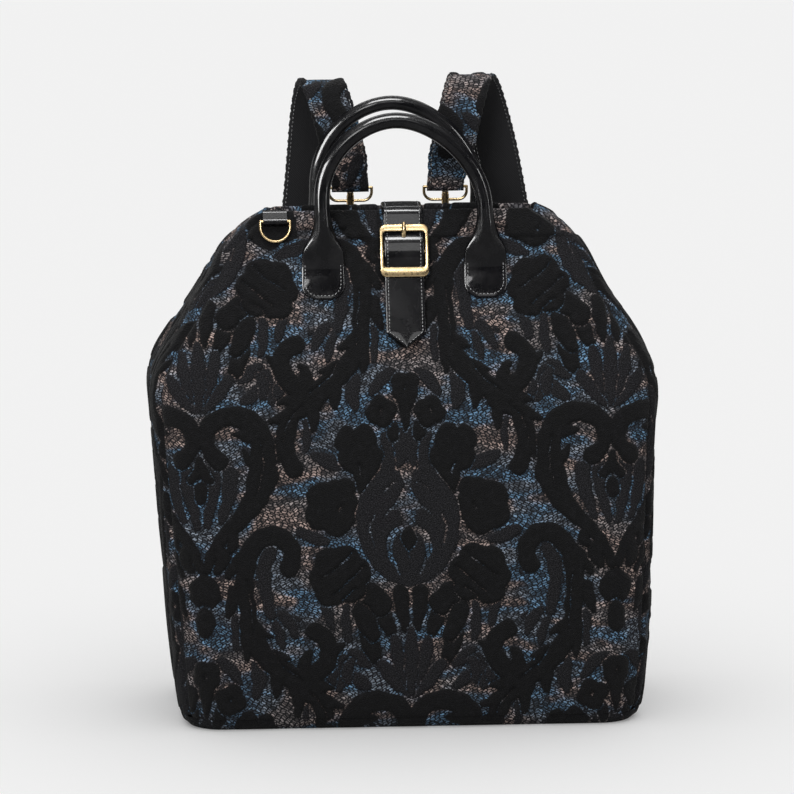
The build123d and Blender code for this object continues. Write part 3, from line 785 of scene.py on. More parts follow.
# What is sewn flat on the front and back: middle across, lowest and highest, half width
PRESSED = [(-61.0, 322.0, 372.0, 17.0), (61.0, 322.0, 372.0, 17.0)]
PRESSED_FRONT = PRESSED + [(0.0, 315.0, 400.0, 17.0), (-96.0, 352.0, 400.0, 16.0)]
PRESSED_BACK = PRESSED + [(0.0, 340.0, 400.0, 17.0), (-36.0, 296.0, 340.0, 11.0), (36.0, 296.0, 340.0, 11.0),
                          (-122.0, 21.0, 57.0, 20.0), (122.0, 21.0, 57.0, 20.0)]
PRESS_ROLL = 3.0


def pressed_flat(x, z, patches):
    """1 on free cloth and 0 under what is sewn on it"""
    free = np.ones(np.broadcast(x, z).shape)
    for middle, low, high, half in patches:
        beside = np.maximum(np.abs(x - middle) - half, np.maximum(low - z, z - high))
        free = np.minimum(free, smooth_step(0, PRESS_ROLL, beside))
    return free


MOUTH_ROLL = ((0.5, 0.7), (1.5, 0.9), (2.6, 0.2), (3.0, -2.0), (3.2, -7.0))


def over_mouth(points, across, down, velvet, terry, axis, side):
    """A wall whose last row is carried over the mouth's edge and down inside, with its pattern held"""
    fold = np.array(MOUTH_ROLL)
    count = len(fold)
    over = np.repeat(points[-1:], count, axis=0)
    over[..., axis] -= side * fold[:, :1]
    over[..., 2] += fold[:, 1:]
    points = np.concatenate([points, over])
    across, velvet, terry = (repeat_last(grid, count) for grid in (across, velvet, terry))
    down = np.concatenate([down, down[-1:] - np.cumsum(np.ones((count, 1)), axis=0)])
    return points, across, down, velvet, terry


def wall_panel(name, side, columns, rows, node, patches, first_column):
    """Front (side -1) or back (side 1): even steps along the wall's perimeter from seam to seam,
    row by row up, then over the mouth's edge and a little way down inside"""
    z = np.linspace(BASE_SEAM, BAG_HEIGHT, rows)[:, None]
    half_width, half_depth, corner = body_rows(z)
    flat = np.minimum(half_width - corner, half_width - SEAM_INSET)
    reach = flat + corner * np.arcsin(np.clip(1 - SEAM_INSET / corner, 0, 1))
    along = np.linspace(-1, 1, columns)[None, :] * reach
    past = np.maximum(np.abs(along) - flat, 0)
    turn = past / corner
    x = -side * np.sign(along) * (np.minimum(np.abs(along), flat) + corner * np.sin(turn)) + body_lean(z)
    y = side * (half_depth - corner * (1 - np.cos(turn)))
    above_hem = z - (BAG_HEIGHT - HEM_HEIGHT)
    hem = HEM_LIFT * smooth_step(-0.8, 0.8, above_hem)
    calm = pressed_flat(x, z, patches)
    points = np.stack(np.broadcast_arrays(x, y + side * hem * calm, z), axis=-1)
    across = first_column + along / PIXEL
    down = photo_row(-half_depth, z) - HEM_SHIFT * (above_hem > 0)
    down = np.broadcast_to(down, across.shape)
    points, velvet, terry = raise_cloth(points, across, down, reach - np.abs(along), z - BASE_SEAM, calm)
    return cloth_piece(name, *over_mouth(points, across, down, velvet, terry, 1, side), node)


def gusset(name, side, node):
    """Side wall (side 1 right, -1 left): even steps round from the front seam to the back seam,
    row by row up"""
    z = np.linspace(BASE_SEAM, BAG_HEIGHT, GUSSET_ROWS)[:, None]
    half_width, half_depth, corner = body_rows(z)
    flat = half_depth - corner
    most = np.pi / 2 - np.arcsin(np.clip(1 - SEAM_INSET / corner, 0, 1))
    rest = np.maximum(SEAM_INSET - corner, 0)
    reach = flat + corner * most + rest
    along = np.linspace(-1, 1, GUSSET_COLUMNS)[None, :] * reach
    turn = np.clip((np.abs(along) - flat) / corner, 0, most)
    past = np.maximum(np.abs(along) - flat - corner * most, 0)
    x = side * (half_width - corner * (1 - np.cos(turn)) - past) + body_lean(z)
    y = side * np.sign(along) * (np.minimum(np.abs(along), flat) + corner * np.sin(turn))
    points = np.stack(np.broadcast_arrays(x, y, z), axis=-1)
    across = TILE_HALF / 2 + along / PIXEL
    down = np.broadcast_to(photo_row(-half_depth, z) + GUSSET_SHIFT, across.shape)
    points, velvet, terry = raise_cloth(points, across, down, reach - np.abs(along), z - BASE_SEAM, 1.0)
    return cloth_piece(name, *over_mouth(points, across, down, velvet, terry, 0, side), node)


def rounded_ring(half_width, half_depth, corner, side_steps, corner_steps):
    """Points round rounded rectangles, anticlockwise: four arcs joined by even steps along straight sides"""
    sizes = (half_width, half_depth, corner)
    half_width, half_depth, corner = (np.asarray(size, float)[..., None] for size in sizes)
    arcs = []
    for quarter, (sx, sy) in enumerate(((1, 1), (-1, 1), (-1, -1), (1, -1))):
        angle = (quarter + np.linspace(0, 1, corner_steps + 1)) * np.pi / 2
        arc_x = sx * (half_width - corner) + corner * np.cos(angle)
        arc_y = sy * (half_depth - corner) + corner * np.sin(angle)
        arcs.append(np.stack([arc_x, arc_y], axis=-1))
    runs = []
    shares = (np.arange(1, side_steps) / side_steps)[:, None]
    for arc, following in zip(arcs, arcs[1:] + arcs[:1]):
        start, end = arc[..., -1:, :], following[..., :1, :]
        runs += [arc, start + (end - start) * shares]
    return np.concatenate(runs, axis=-2)


BASE_SIDE_STEPS = 40
BASE_CORNER_STEPS = 10
BASE_ROWS = 12
BASE_FIRST_SHARE = 0.96
LINING_ROWS = 30
LINING_BASE_ROWS = 8
LINING_LAST_SHARE = 0.97
LINING_GAP = 0.4
LINING_DROP = 4.0
LINING_LEAST_CORNER = 1.0
LINING_SIDE_STEPS = 24
LINING_CORNER_STEPS = 6


def base_piece():
    """Base: rings from the seam down the rounded edge to the floor, then shrinking to the middle"""
    z = np.concatenate([np.linspace(BASE_SEAM, 0, BASE_ROWS), np.zeros(BASE_ROWS)])
    shrink = np.concatenate([np.ones(BASE_ROWS), np.linspace(BASE_FIRST_SHARE, 0.0, BASE_ROWS)])
    half_width, half_depth, corner = body_rows(z)
    ring = rounded_ring(half_width, half_depth, corner, BASE_SIDE_STEPS, BASE_CORNER_STEPS)
    ring = ring * shrink[:, None, None]
    points = np.concatenate([ring, np.broadcast_to(z[:, None, None], ring.shape[:2] + (1,))], axis=-1)
    points[..., 0] += BASE_SHIFT
    across = PATTERN_SHIFT + ring[..., 0] / PIXEL
    down = photo_row(-half_depth, z) + (1 - shrink) * half_depth / PIXEL
    down = np.broadcast_to(down[:, None], across.shape)
    velvet, terry, height = pile(across, down)
    outward = np.concatenate([unit(ring), np.zeros(ring.shape[:2] + (1,))], axis=-1)
    roll = smooth_step(-BASE_ROLL, BASE_ROLL, BASE_SEAM - z) * smooth_step(0, FLOOR_ROLL, z)
    points += outward * (height * roll[:, None])[..., None]
    rows, columns = across.shape
    uv = np.stack([across, down], axis=-1).reshape(-1, 2)
    faces = grid_faces(rows, columns, wrap=True)[:, ::-1]
    return new_piece("base_cloth", points.reshape(-1, 3), faces, DAMASK_CLOTH, nodes=("base_panel",),
                     uv=uv, values={"velvet": velvet, "terry": terry})


def lining_piece():
    """Lining: the body's form drawn in by the cloth's thickness, facing inwards, open at the mouth"""
    inset = CLOTH + LINING_GAP
    wall = np.linspace(CLOTH, BAG_HEIGHT - LINING_DROP, LINING_ROWS)
    z = np.concatenate([np.full(LINING_BASE_ROWS, CLOTH), wall])
    shrink = np.concatenate([np.linspace(0.0, LINING_LAST_SHARE, LINING_BASE_ROWS), np.ones(LINING_ROWS)])
    half_width, half_depth, corner = body_rows(z)
    corner = np.maximum(corner - inset, LINING_LEAST_CORNER)
    ring = rounded_ring(half_width - inset, half_depth - inset, corner, LINING_SIDE_STEPS, LINING_CORNER_STEPS)
    ring = ring * shrink[:, None, None]
    ring[..., 0] += body_lean(z)[:, None]
    points = np.concatenate([ring, np.broadcast_to(z[:, None, None], ring.shape[:2] + (1,))], axis=-1)
    faces = grid_faces(ring.shape[0], ring.shape[1], wrap=True)[:, ::-1]
    return new_piece("bag_lining", points.reshape(-1, 3), faces, LINING)


wall_panel("front_cloth", -1, FRONT_COLUMNS, FRONT_ROWS, "front_panel", PRESSED_FRONT, PATTERN_SHIFT)
wall_panel("back_cloth", 1, BACK_COLUMNS, BACK_ROWS, "back_panel", PRESSED_BACK, float(TILE_HALF))
gusset("right_gusset_cloth", 1, "right_gusset")
gusset("left_gusset_cloth", -1, "left_gusset")
base_piece()
lining_piece()

# Leather work and straps

STITCH_LENGTH = 1.9
STITCH_RADIUS = 0.38
STITCH_PITCH = 2.7
STITCH_SIDES = 6
STITCH_RINGS = ((-0.5, 0.0), (-0.42, 0.75), (-0.2, 1.0), (0.2, 1.0), (0.42, 0.75), (0.5, 0.0))


def lengths_along(path):
    """Distance of each point of a path from its start"""
    return np.concatenate([[0], np.cumsum(np.linalg.norm(np.diff(path, axis=0), axis=1))])


def even_points(path, pitch):
    """Points at an even pitch along a path, and the directions there"""
    reach = lengths_along(path)
    count = max(int(reach[-1] / pitch), 1)
    where = (np.arange(count) + 0.5) * reach[-1] / count
    points = np.stack([np.interp(where, reach, path[:, k]) for k in range(3)], axis=1)
    ways = unit(np.stack([np.interp(where, reach, tangents(path)[:, k]) for k in range(3)], axis=1))
    return points, ways


def stitches(path, outward, pitch=STITCH_PITCH):
    """A row of stitches: rounded rods along a path, half sunk in the surface that faces outward"""
    points, ways = even_points(path, pitch)
    reach = lengths_along(path)
    where = (np.arange(len(points)) + 0.5) * reach[-1] / len(points)
    out = unit(np.stack([np.interp(where, reach, outward[:, k]) for k in range(3)], axis=1))
    beside = np.cross(ways, out)
    rings = np.array(STITCH_RINGS)
    angle = np.arange(STITCH_SIDES) * 2 * np.pi / STITCH_SIDES
    along = rings[:, 0, None] * STITCH_LENGTH + 0 * angle
    aside = rings[:, 1, None] * STITCH_RADIUS * np.cos(angle)
    above = rings[:, 1, None] * STITCH_RADIUS * np.sin(angle)
    rods = (points[:, None, None] + ways[:, None, None] * along[..., None]
            + beside[:, None, None] * aside[..., None] + out[:, None, None] * above[..., None])
    faces = grid_faces(len(rings), STITCH_SIDES, wrap=True)[:, ::-1]
    starts = np.arange(len(points)) * len(rings) * STITCH_SIDES
    return rods.reshape(-1, 3), (faces[None] + starts[:, None, None]).reshape(-1, 4)


FACE_STEPS = 14
EDGE_STEPS = 7


def stadium(face_steps, edge_steps):
    """A flat section's outline as shares: across the face, round the edge sideways and outward"""
    face = np.linspace(-1, 1, face_steps)
    angle = np.linspace(np.pi / 2, -np.pi / 2, edge_steps + 2)[1:-1]
    across = np.concatenate([face, np.ones(edge_steps), face[::-1], -np.ones(edge_steps)])
    aside = np.concatenate([0 * face, np.cos(angle), 0 * face, -np.cos(angle)])
    out = np.concatenate([0 * face + 1, np.sin(angle), 0 * face - 1, -np.sin(angle)])
    return across, aside, out


def band(path, outward, half_width, half_thickness, crown=0.0, face_steps=FACE_STEPS):
    """A flat strip: a stadium section carried along a path, its face crowned, both ends closed"""
    count = len(path)
    half_width = np.broadcast_to(half_width, count)
    half_thickness = np.broadcast_to(half_thickness, count)
    ends = np.concatenate([[0], np.arange(count), [count - 1]])
    thick = np.minimum(half_thickness, half_width)[ends]
    thick[[0, -1]] = 0
    along = tangents(path)
    out = unit(outward - along * np.sum(outward * along, axis=1, keepdims=True))
    beside = np.cross(along, out)[ends]
    across, aside, rise = stadium(face_steps, EDGE_STEPS)
    flat = np.maximum(half_width[ends] - thick, 0)
    x = flat[:, None] * across + thick[:, None] * aside
    y = thick[:, None] * rise + crown * (1 - across ** 2) * (rise > 0) * (thick > 0)[:, None]
    points = path[ends][:, None] + beside[:, None] * x[..., None] + out[ends][:, None] * y[..., None]
    return points.reshape(-1, 3), grid_faces(len(ends), len(across), wrap=True)


def tube(path, radius, sides=16, closed=False):
    """A round wire: circles carried along a path in one plane, drawn to a point at open ends"""
    along = tangents(path)
    if closed:
        along = unit(np.roll(path, -1, axis=0) - np.roll(path, 1, axis=0))
    spread = path.max(axis=0) - path.min(axis=0)
    side = np.zeros(3)
    side[np.argmin(spread)] = 1.0
    first = unit(np.cross(along, side))
    second = np.cross(along, first)
    angle = np.arange(sides) * 2 * np.pi / sides
    radius = np.broadcast_to(radius, len(path)).astype(float)
    ring = first[:, None] * np.cos(angle)[None, :, None] + second[:, None] * np.sin(angle)[None, :, None]
    points = path[:, None] + ring * radius[:, None, None]
    if closed:
        points = np.concatenate([points, points[:1]])
    else:
        points = np.concatenate([np.repeat(path[None, :1], sides, 1).reshape(1, sides, 3), points,
                                 np.repeat(path[None, -1:], sides, 1).reshape(1, sides, 3)])
    return points.reshape(-1, 3), grid_faces(len(points), sides, wrap=True)


# Rolled handles
HANDLE_LEG = 61.0
HANDLE_REACH = 30.0
HANDLE_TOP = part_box("front_handle")[1].z / METRE + 0.5
HANDLE_RADIUS = 6.0
HANDLE_LEAN = -6.0
BACK_RISE = 4.0
BACK_SLIM = 0.9
TAB_BOTTOM = 323.5
TAB_TOP = 347.0
TAB_HALF = 16.0
TAB_HALF_THICK = 1.3
TAB_CORNER = 11.5
FLARE_TOP = 381.0
# Along the handle from each end: distance, half width, half thickness and how square the section is
HANDLE_ROWS = np.array([
    (0.0, 16.0, 1.3, 0.30),
    (14.0, 16.0, 1.5, 0.32),
    (24.0, 16.0, 2.0, 0.36),
    (33.0, 15.9, 2.6, 0.42),
    (38.0, 15.1, 3.1, 0.50),
    (43.0, 12.8, 3.7, 0.62),
    (49.0, 9.8, 4.5, 0.80),
    (55.0, 7.8, 5.2, 0.92),
    (62.0, 6.5, 5.8, 0.98),
    (70.0, 6.0, 6.0, 1.00),
])
HANDLE_SIDES = 48
HANDLE_STEP = 1.3
FOLD_HEIGHT = 0.7
ROOF_HEIGHT = 2.4
FOLD_PLACE = 0.42
FOLD_WIDTH = 0.17
TAB_STITCH_INSET = 2.7
TAB_STITCH_TOP = 27.0
ARC_STEPS = 40
BOW_POWER = 1.1
HANDLE_BLEND = 18.0
BOW_LEAN = 7.0
LEAN_START = 10.0
LEAST_SQUARE = 0.04
GROOVE_DEPTH = 0.7
GROOVE_WIDTH = 0.12
TAB_CORNER_STEPS = 12
STITCH_PATH_STEP = 1.0
STITCH_PATH_BLEND = 2.0
TAB_STITCH_PROUD = 0.05
# Where changes along the handle begin and end, as distances from its ends
SLIM_RUN = (60.0, 90.0)
LIE_RUN = (30.0, 60.0)
FOLD_RISE = (22.0, 44.0)
FOLD_FALL = (66.0, 100.0)
ROOF_RISE = (2.0, 16.0)
ROOF_FALL = (50.0, 66.0)


def handle(name, side, node):
    """Rolled handle: a section that goes from a flat tab to a round roll, carried up one leg, over and
    down, with two folds that run from the roll into each tab"""
    wall = [(-HANDLE_LEG, side * (front_depth(z) + TAB_HALF_THICK), z) for z in (TAB_BOTTOM, TAB_TOP)]
    spring = HANDLE_TOP - HANDLE_RADIUS - HANDLE_LEG
    leg = [(-HANDLE_LEG, side * (HANDLE_REACH + BOW_LEAN / 2), FLARE_TOP),
           (-HANDLE_LEG, side * (HANDLE_REACH + BOW_LEAN / 3), spring)]
    turn = np.linspace(np.pi, np.pi / 2, ARC_STEPS)[1:]
    arc = np.stack([-HANDLE_LEG * np.abs(np.cos(turn)) ** BOW_POWER,
                    side * (HANDLE_REACH + BOW_LEAN * (1 / 3 - np.sin(turn))),
                    spring + HANDLE_LEG * np.sin(turn) ** BOW_POWER], axis=1)
    half = np.concatenate([wall, leg, arc])
    path = np.concatenate([half, half[-2::-1] * (-1, 1, 1)])
    path = smooth_path(path, HANDLE_STEP, HANDLE_BLEND)
    path[:, 0] += HANDLE_LEAN * smooth_step(FLARE_TOP - LEAN_START, HANDLE_TOP, path[:, 2])
    path[:, 2] += (side > 0) * BACK_RISE * smooth_step(FLARE_TOP, HANDLE_TOP, path[:, 2])
    reach = lengths_along(path)
    end = np.minimum(reach, reach[-1] - reach)
    width, thick, square = (np.interp(end, HANDLE_ROWS[:, 0], HANDLE_ROWS[:, k]) for k in (1, 2, 3))
    slim = 1 - (side > 0) * (1 - BACK_SLIM) * smooth_step(*SLIM_RUN, end)
    width, thick = width * slim, thick * slim
    corner = np.maximum(TAB_CORNER ** 2 - np.maximum(TAB_CORNER - end, 0) ** 2, LEAST_SQUARE)
    width = np.minimum(width, TAB_HALF - TAB_CORNER + np.sqrt(corner))
    along = tangents(path)
    slope = front_depth(TAB_BOTTOM) - front_depth(TAB_TOP)
    lie = unit(np.array([0, side * (TAB_TOP - TAB_BOTTOM), slope]))
    lying = 1 - smooth_step(*LIE_RUN, end)[:, None]
    outward = np.array([0.0, side, 0.0]) + (lie - (0, side, 0)) * lying
    out = unit(outward - along * np.sum(outward * along, axis=1, keepdims=True))
    beside = np.cross(along, out)
    angle = np.arange(HANDLE_SIDES) * -2 * np.pi / HANDLE_SIDES
    cos, sin = np.cos(angle), np.sin(angle)
    x = width[:, None] * np.sign(cos) * np.abs(cos) ** square[:, None]
    y = thick[:, None] * np.sign(sin) * np.abs(sin) ** square[:, None]
    share = x / width[:, None]
    folds = np.exp(-((np.abs(share) - FOLD_PLACE) / FOLD_WIDTH) ** 2)
    folds = folds - GROOVE_DEPTH * np.exp(-(share / GROOVE_WIDTH) ** 2)
    strength = FOLD_HEIGHT * smooth_step(*FOLD_RISE, end) * (1 - smooth_step(*FOLD_FALL, end))
    roof = ROOF_HEIGHT * (smooth_step(*ROOF_RISE, end) - smooth_step(*ROOF_FALL, end))
    y += strength[:, None] * folds * (sin > 0)
    y += roof[:, None] * (1 - np.abs(share)) * (sin > 0)
    points = path[:, None] + beside[:, None] * x[..., None] + out[:, None] * y[..., None]
    caps = [np.repeat(path[k][None, None], HANDLE_SIDES, axis=1) for k in (0, -1)]
    points = np.concatenate([caps[0], points, caps[1]])
    new_piece(name, points.reshape(-1, 3), grid_faces(len(points), HANDLE_SIDES, wrap=True), LEATHER,
              nodes=(node,))

    # Stitches: up one side of each tab, round its end and up the other
    rows = []
    inset = TAB_HALF - TAB_STITCH_INSET
    bend = np.linspace(0, np.pi / 2, TAB_CORNER_STEPS)
    radius = TAB_CORNER - TAB_STITCH_INSET
    right = np.stack([inset - radius + radius * np.sin(bend), TAB_CORNER - radius * np.cos(bend)], axis=1)
    right = np.concatenate([right, [(inset, TAB_STITCH_TOP)]])
    local = np.concatenate([right[::-1] * (-1, 1), right])
    fine = smooth_path(local, STITCH_PATH_STEP, STITCH_PATH_BLEND)
    for flip in (False, True):
        where = reach[-1] - fine[:, 1] if flip else fine[:, 1]
        base, way, face = (np.stack([np.interp(where, reach, a[:, k]) for k in range(3)], axis=1)
                           for a in (path, beside, out))
        roof = ROOF_HEIGHT * smooth_step(*ROOF_RISE, fine[:, 1]) * (1 - np.abs(fine[:, 0]) / TAB_HALF)
        level = (np.interp(where, reach, thick) + roof)[:, None]
        rows.append(stitches(base + way * fine[:, :1] + face * (level + TAB_STITCH_PROUD), face))
    points, faces = join(rows)
    new_piece(name + "_stitches", points, faces, THREAD)


handle("front_rolled_handle", -1, "front_handle")
handle("back_rolled_handle", 1, "back_handle")

# Closure strap and buckle, set out on the sloping front: up the slope and out of it
BUCKLE_HEIGHT = 356.0
BUCKLE_LENGTH = 40.0
BUCKLE_WIDTH = 36.5
BUCKLE_CORNER = 5.0
BUCKLE_WINDOW_CORNER = 2.5
BUCKLE_RAIL = 2.5
BUCKLE_TOP_BAR = 5.3
BUCKLE_BOTTOM_BAR = 7.0
BUCKLE_THICKNESS = 3.0
BUCKLE_BOW = 1.5
BUCKLE_LIFT = 4.7
BUCKLE_SEAT = 0.5
BUCKLE_BEVEL = 0.55
BAR_LIFT = 2.8
BAR_RADIUS = 1.25
STRAP_HALF = 15.0
STRAP_HALF_THICK = 1.3
STRAP_LIE = 2.1
STRAP_CROWN = 7.2
STRAP_DIVE = 0.4
STRAP_SHOULDER = 9.5
STRAP_UNDER = 2.95
STRAP_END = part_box("closure_strap")[0].z / METRE + 4.0
STRAP_POINT = 12.0
STRAP_TIP_LIFT = 5.5
STRAP_TAIL = 10.0
STRAP_STITCH_INSET = 2.6
STRAP_STITCH_PROUD = 0.1
STRAP_STITCH_LEAST = 1.0
STRAP_CROWN_END = 3.0
STRAP_STEP = 0.9
STRAP_BLEND = 7.0
STRAP_TIP = 0.4
STRAP_BACK_RUN = 60.0
STRAP_FACE_CROWN = 0.35
BUCKLE_SIDE_STEPS = 12
BUCKLE_CORNER_STEPS = 8
BUCKLE_CREASE = 0.04
BUCKLE_FACE_CREASE = 0.05
BUCKLE_FACE_DROP = 0.02
BAR_STEPS = 24
EAR_STEPS = 8
EAR_RADIUS = 1.3
EAR_OVERLAP = 0.5
SLOPE_RUN = front_depth(BUCKLE_HEIGHT - BUCKLE_LENGTH / 2) - front_depth(BUCKLE_HEIGHT + BUCKLE_LENGTH / 2)
SLOPE = math.atan2(SLOPE_RUN, BUCKLE_LENGTH)
SLOPE_UP = np.array([0.0, math.sin(SLOPE), math.cos(SLOPE)])
SLOPE_OUT = np.array([0.0, -math.cos(SLOPE), math.sin(SLOPE)])
SLOPE_ORIGIN = np.array([0.0, -float(front_depth(BUCKLE_HEIGHT)) - BUCKLE_SEAT, BUCKLE_HEIGHT])


def on_slope(up, out, across=0.0):
    """A point by its place up the slope, out of it and across the bag"""
    up, out, across = (np.asarray(v, float)[..., None] for v in (up, out, across))
    return SLOPE_ORIGIN + SLOPE_UP * up + SLOPE_OUT * out + np.array([1.0, 0.0, 0.0]) * across


def closure_strap():
    """Strap over the mouth: a flat strip along its side view, with a pointed end and stitched edges"""
    top = BAG_HEIGHT + STRAP_LIE
    fold_up = (top - on_slope(0, STRAP_LIE)[2]) / SLOPE_UP[2]
    tip_up = (STRAP_END - on_slope(0, STRAP_TIP_LIFT)[2]) / SLOPE_UP[2]
    front_fold = on_slope(fold_up, STRAP_LIE)
    half = BUCKLE_LENGTH / 2
    side_view = np.array([
        on_slope(-STRAP_TAIL, STRAP_LIE) * (1, -1, 1),
        front_fold * (1, -1, 1),
        front_fold,
        on_slope(half - BUCKLE_TOP_BAR - STRAP_DIVE, STRAP_LIE),
        on_slope(STRAP_SHOULDER, STRAP_CROWN),
        on_slope(-STRAP_CROWN_END, STRAP_CROWN),
        on_slope(BUCKLE_BOTTOM_BAR - half, STRAP_UNDER),
        on_slope(-half, STRAP_UNDER),
        on_slope(tip_up, STRAP_TIP_LIFT),
    ])
    path = smooth_path(side_view, STRAP_STEP, STRAP_BLEND)
    along = tangents(path)
    outward = np.cross(along, (1.0, 0.0, 0.0))
    outward *= -np.sign(outward[len(path) // 2] @ -SLOPE_OUT)
    to_tip = np.linalg.norm(path[-1] - path, axis=1)
    width = STRAP_HALF * np.minimum(1, np.maximum(to_tip, STRAP_TIP) / STRAP_POINT)
    width = np.where(lengths_along(path) > STRAP_BACK_RUN, width, STRAP_HALF)
    points, faces = band(path, outward, width, STRAP_HALF_THICK, crown=STRAP_FACE_CROWN)
    new_piece("closure_strap_leather", points, faces, LEATHER, nodes=("closure_strap",))

    # Edge stitches, which meet at the point
    rows = []
    for side in (-1, 1):
        place = np.maximum(width - STRAP_STITCH_INSET, 0)
        kept = place > STRAP_STITCH_LEAST
        beside = np.cross(along, outward)
        seam = path + beside * (side * place)[:, None]
        seam = seam + outward * (STRAP_HALF_THICK + STRAP_STITCH_PROUD)
        rows.append(stitches(seam[kept], outward[kept]))
    points, faces = join(rows)
    new_piece("closure_strap_stitches", points, faces, THREAD)


def buckle_frame():
    """Buckle: a bevelled section carried round between an outer and an inner rounded rectangle, bowed
    outwards, with a centre bar held by two ears"""
    window_width = BUCKLE_WIDTH - 2 * BUCKLE_RAIL
    window_length = BUCKLE_LENGTH - BUCKLE_TOP_BAR - BUCKLE_BOTTOM_BAR
    steps = (BUCKLE_SIDE_STEPS, BUCKLE_CORNER_STEPS)
    outer = rounded_ring(BUCKLE_WIDTH / 2, BUCKLE_LENGTH / 2, BUCKLE_CORNER, *steps)
    inner = rounded_ring(window_width / 2, window_length / 2, BUCKLE_WINDOW_CORNER, *steps)
    inner = inner + (0, (BUCKLE_BOTTOM_BAR - BUCKLE_TOP_BAR) / 2)
    span = np.linalg.norm(inner - outer, axis=1)[:, None]
    bevel = BUCKLE_BEVEL
    # Section from the outer foot round to the inner foot: offset from the outer edge and height
    inwards = np.array([0, 0, BUCKLE_CREASE, bevel, bevel + BUCKLE_FACE_CREASE])
    shoulder = BUCKLE_THICKNESS - bevel
    heights = np.array([bevel, shoulder, shoulder + BUCKLE_CREASE, BUCKLE_THICKNESS - BUCKLE_FACE_DROP,
                        BUCKLE_THICKNESS])
    near = np.broadcast_to(inwards, (len(outer), len(inwards)))
    offset = np.concatenate([near, span - near[:, ::-1], span - bevel, 0 * span + bevel], axis=1)
    height = np.concatenate([heights, heights[::-1], [0.0, 0.0]])
    share = offset / span
    flat = outer[:, None] + (inner - outer)[:, None] * share[..., None]
    bow = BUCKLE_BOW * (1 - (flat[..., 1] / (BUCKLE_LENGTH / 2)) ** 2)
    points = on_slope(flat[..., 1], BUCKLE_LIFT + bow + height, flat[..., 0])
    rows = len(outer)
    closed = np.concatenate([points, points[:1]])
    meshes = [(closed.reshape(-1, 3), grid_faces(rows + 1, len(height), wrap=True)[:, ::-1])]
    bar_half = BUCKLE_WIDTH / 2 - BUCKLE_RAIL / 2
    along_bar = np.linspace(-bar_half, bar_half, BAR_STEPS)
    bar = on_slope(np.zeros(BAR_STEPS), np.full(BAR_STEPS, BAR_LIFT), along_bar)
    meshes.append(tube(bar, BAR_RADIUS))
    for side in (-1, 1):
        rise = np.linspace(BAR_LIFT - BAR_RADIUS, BUCKLE_LIFT + BUCKLE_BOW + EAR_OVERLAP, EAR_STEPS)
        ear = on_slope(np.zeros(EAR_STEPS), rise, np.full(EAR_STEPS, side * bar_half))
        meshes.append(tube(ear, EAR_RADIUS))
    points, faces = join(meshes)
    new_piece("buckle_frame_brass", points, faces, BRASS, nodes=("buckle_frame",))


# Prong from the bar up: place on the slope, height over it and radius
PRONG_ROWS = [
    (-1.5, 3.4, 1.6),
    (1.5, 4.6, 1.7),
    (8.5, 4.8, 1.7),
    (11.0, 6.8, 1.7),
    (13.6, 9.8, 1.7),
    (17.0, 10.2, 1.6),
    (20.8, 9.7, 1.35),
]
PRONG_STEP = 0.5
PRONG_BLEND = 3.0


def prong():
    """Prong: a round rod that lies under the strap, comes up through it and rests on the top bar"""
    rows = smooth_path(PRONG_ROWS, PRONG_STEP, PRONG_BLEND)
    points, faces = tube(on_slope(rows[:, 0], rows[:, 1]), rows[:, 2])
    new_piece("prong_brass", points, faces, BRASS, "buckle_prong", ("buckle_prong",))


closure_strap()
buckle_frame()
prong()

# Shoulder straps: damask outside, twill inside, from the hook's eye over the peak to the anchor
SHOULDER_HALF = 16.5
SHOULDER_END_HALF = 14.0
SHOULDER_HALF_THICK = 2.0
HOOK_X = 36.0
HOOK_REACH = 40.0
PEAK_X = 57.0
PEAK_HEIGHT = 475.0
PEAK_REACH = 66.0
REAR_REACH = 106.0
ANCHOR_X = 122.0
ANCHOR_TOP = 56.0
ANCHOR_BOTTOM = 22.0
ANCHOR_MARGIN = 6.0
ANCHOR_LIE = 4.7
STRAP_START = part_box("right_hook_eye")[1].z / METRE - 4.4
FOLD_HALF_THICK = 3.3
FOLD_LENGTH = 22.0
LEFT_PEAK_DROP = 2.5
REAR_SWAY = 11.0
SWAY_SHARES = (0.15, 0.35, 0.65, 0.9, 1.0, 0.7, 0.3, 0.0)
NEAR_LEG_SHARES = [
    (0.00, 0.00, 0.00),
    (0.00, 0.00, 0.11),
    (0.20, 0.00, 0.33),
    (0.52, 0.15, 0.67),
    (0.81, 0.54, 0.92),
    (1.00, 1.00, 1.00),
]
REAR_LEG_SHARES = [
    (0.06, 0.59, 0.984),
    (0.14, 0.74, 0.935),
    (0.22, 0.83, 0.865),
    (0.32, 0.92, 0.760),
    (0.51, 1.00, 0.595),
    (0.69, 0.985, 0.410),
    (0.86, 0.88, 0.220),
    (0.97, 0.72, 0.090),
]
SHOULDER_STEP = 1.25
SHOULDER_FACE_STEPS = 26
SHOULDER_STITCH_INSET = 2.4
SHOULDER_BLEND = 26.0
SHOULDER_STITCH_PITCH = 3.4
SHOULDER_STITCH_PROUD = 0.2
SHOULDER_STITCH_START = 5.0
SHOULDER_CROWN = 0.5
END_TAPER = (8.0, 26.0)
FOLD_EASE = 6.0
FOLD_LEAST_SQUARE = 0.01
PILE_START = 6.0
PILE_EDGE = (-0.2, 0.5)
FACE_LEVEL = 0.5
BACK_LEVEL = 0.2
EDGE_RAG = 0.3
RAG_RATE = 0.9
RAG_SECOND = 0.7
RAG_SECOND_RATE = 2.13
RAG_START = (4.0, 12.0)
RAG_POWER = 4
STRAP_TILE_STAGGER = 18.0
STRAP_TILE_ACROSS = 90.0
STRAP_TILE_DOWN = 339.0


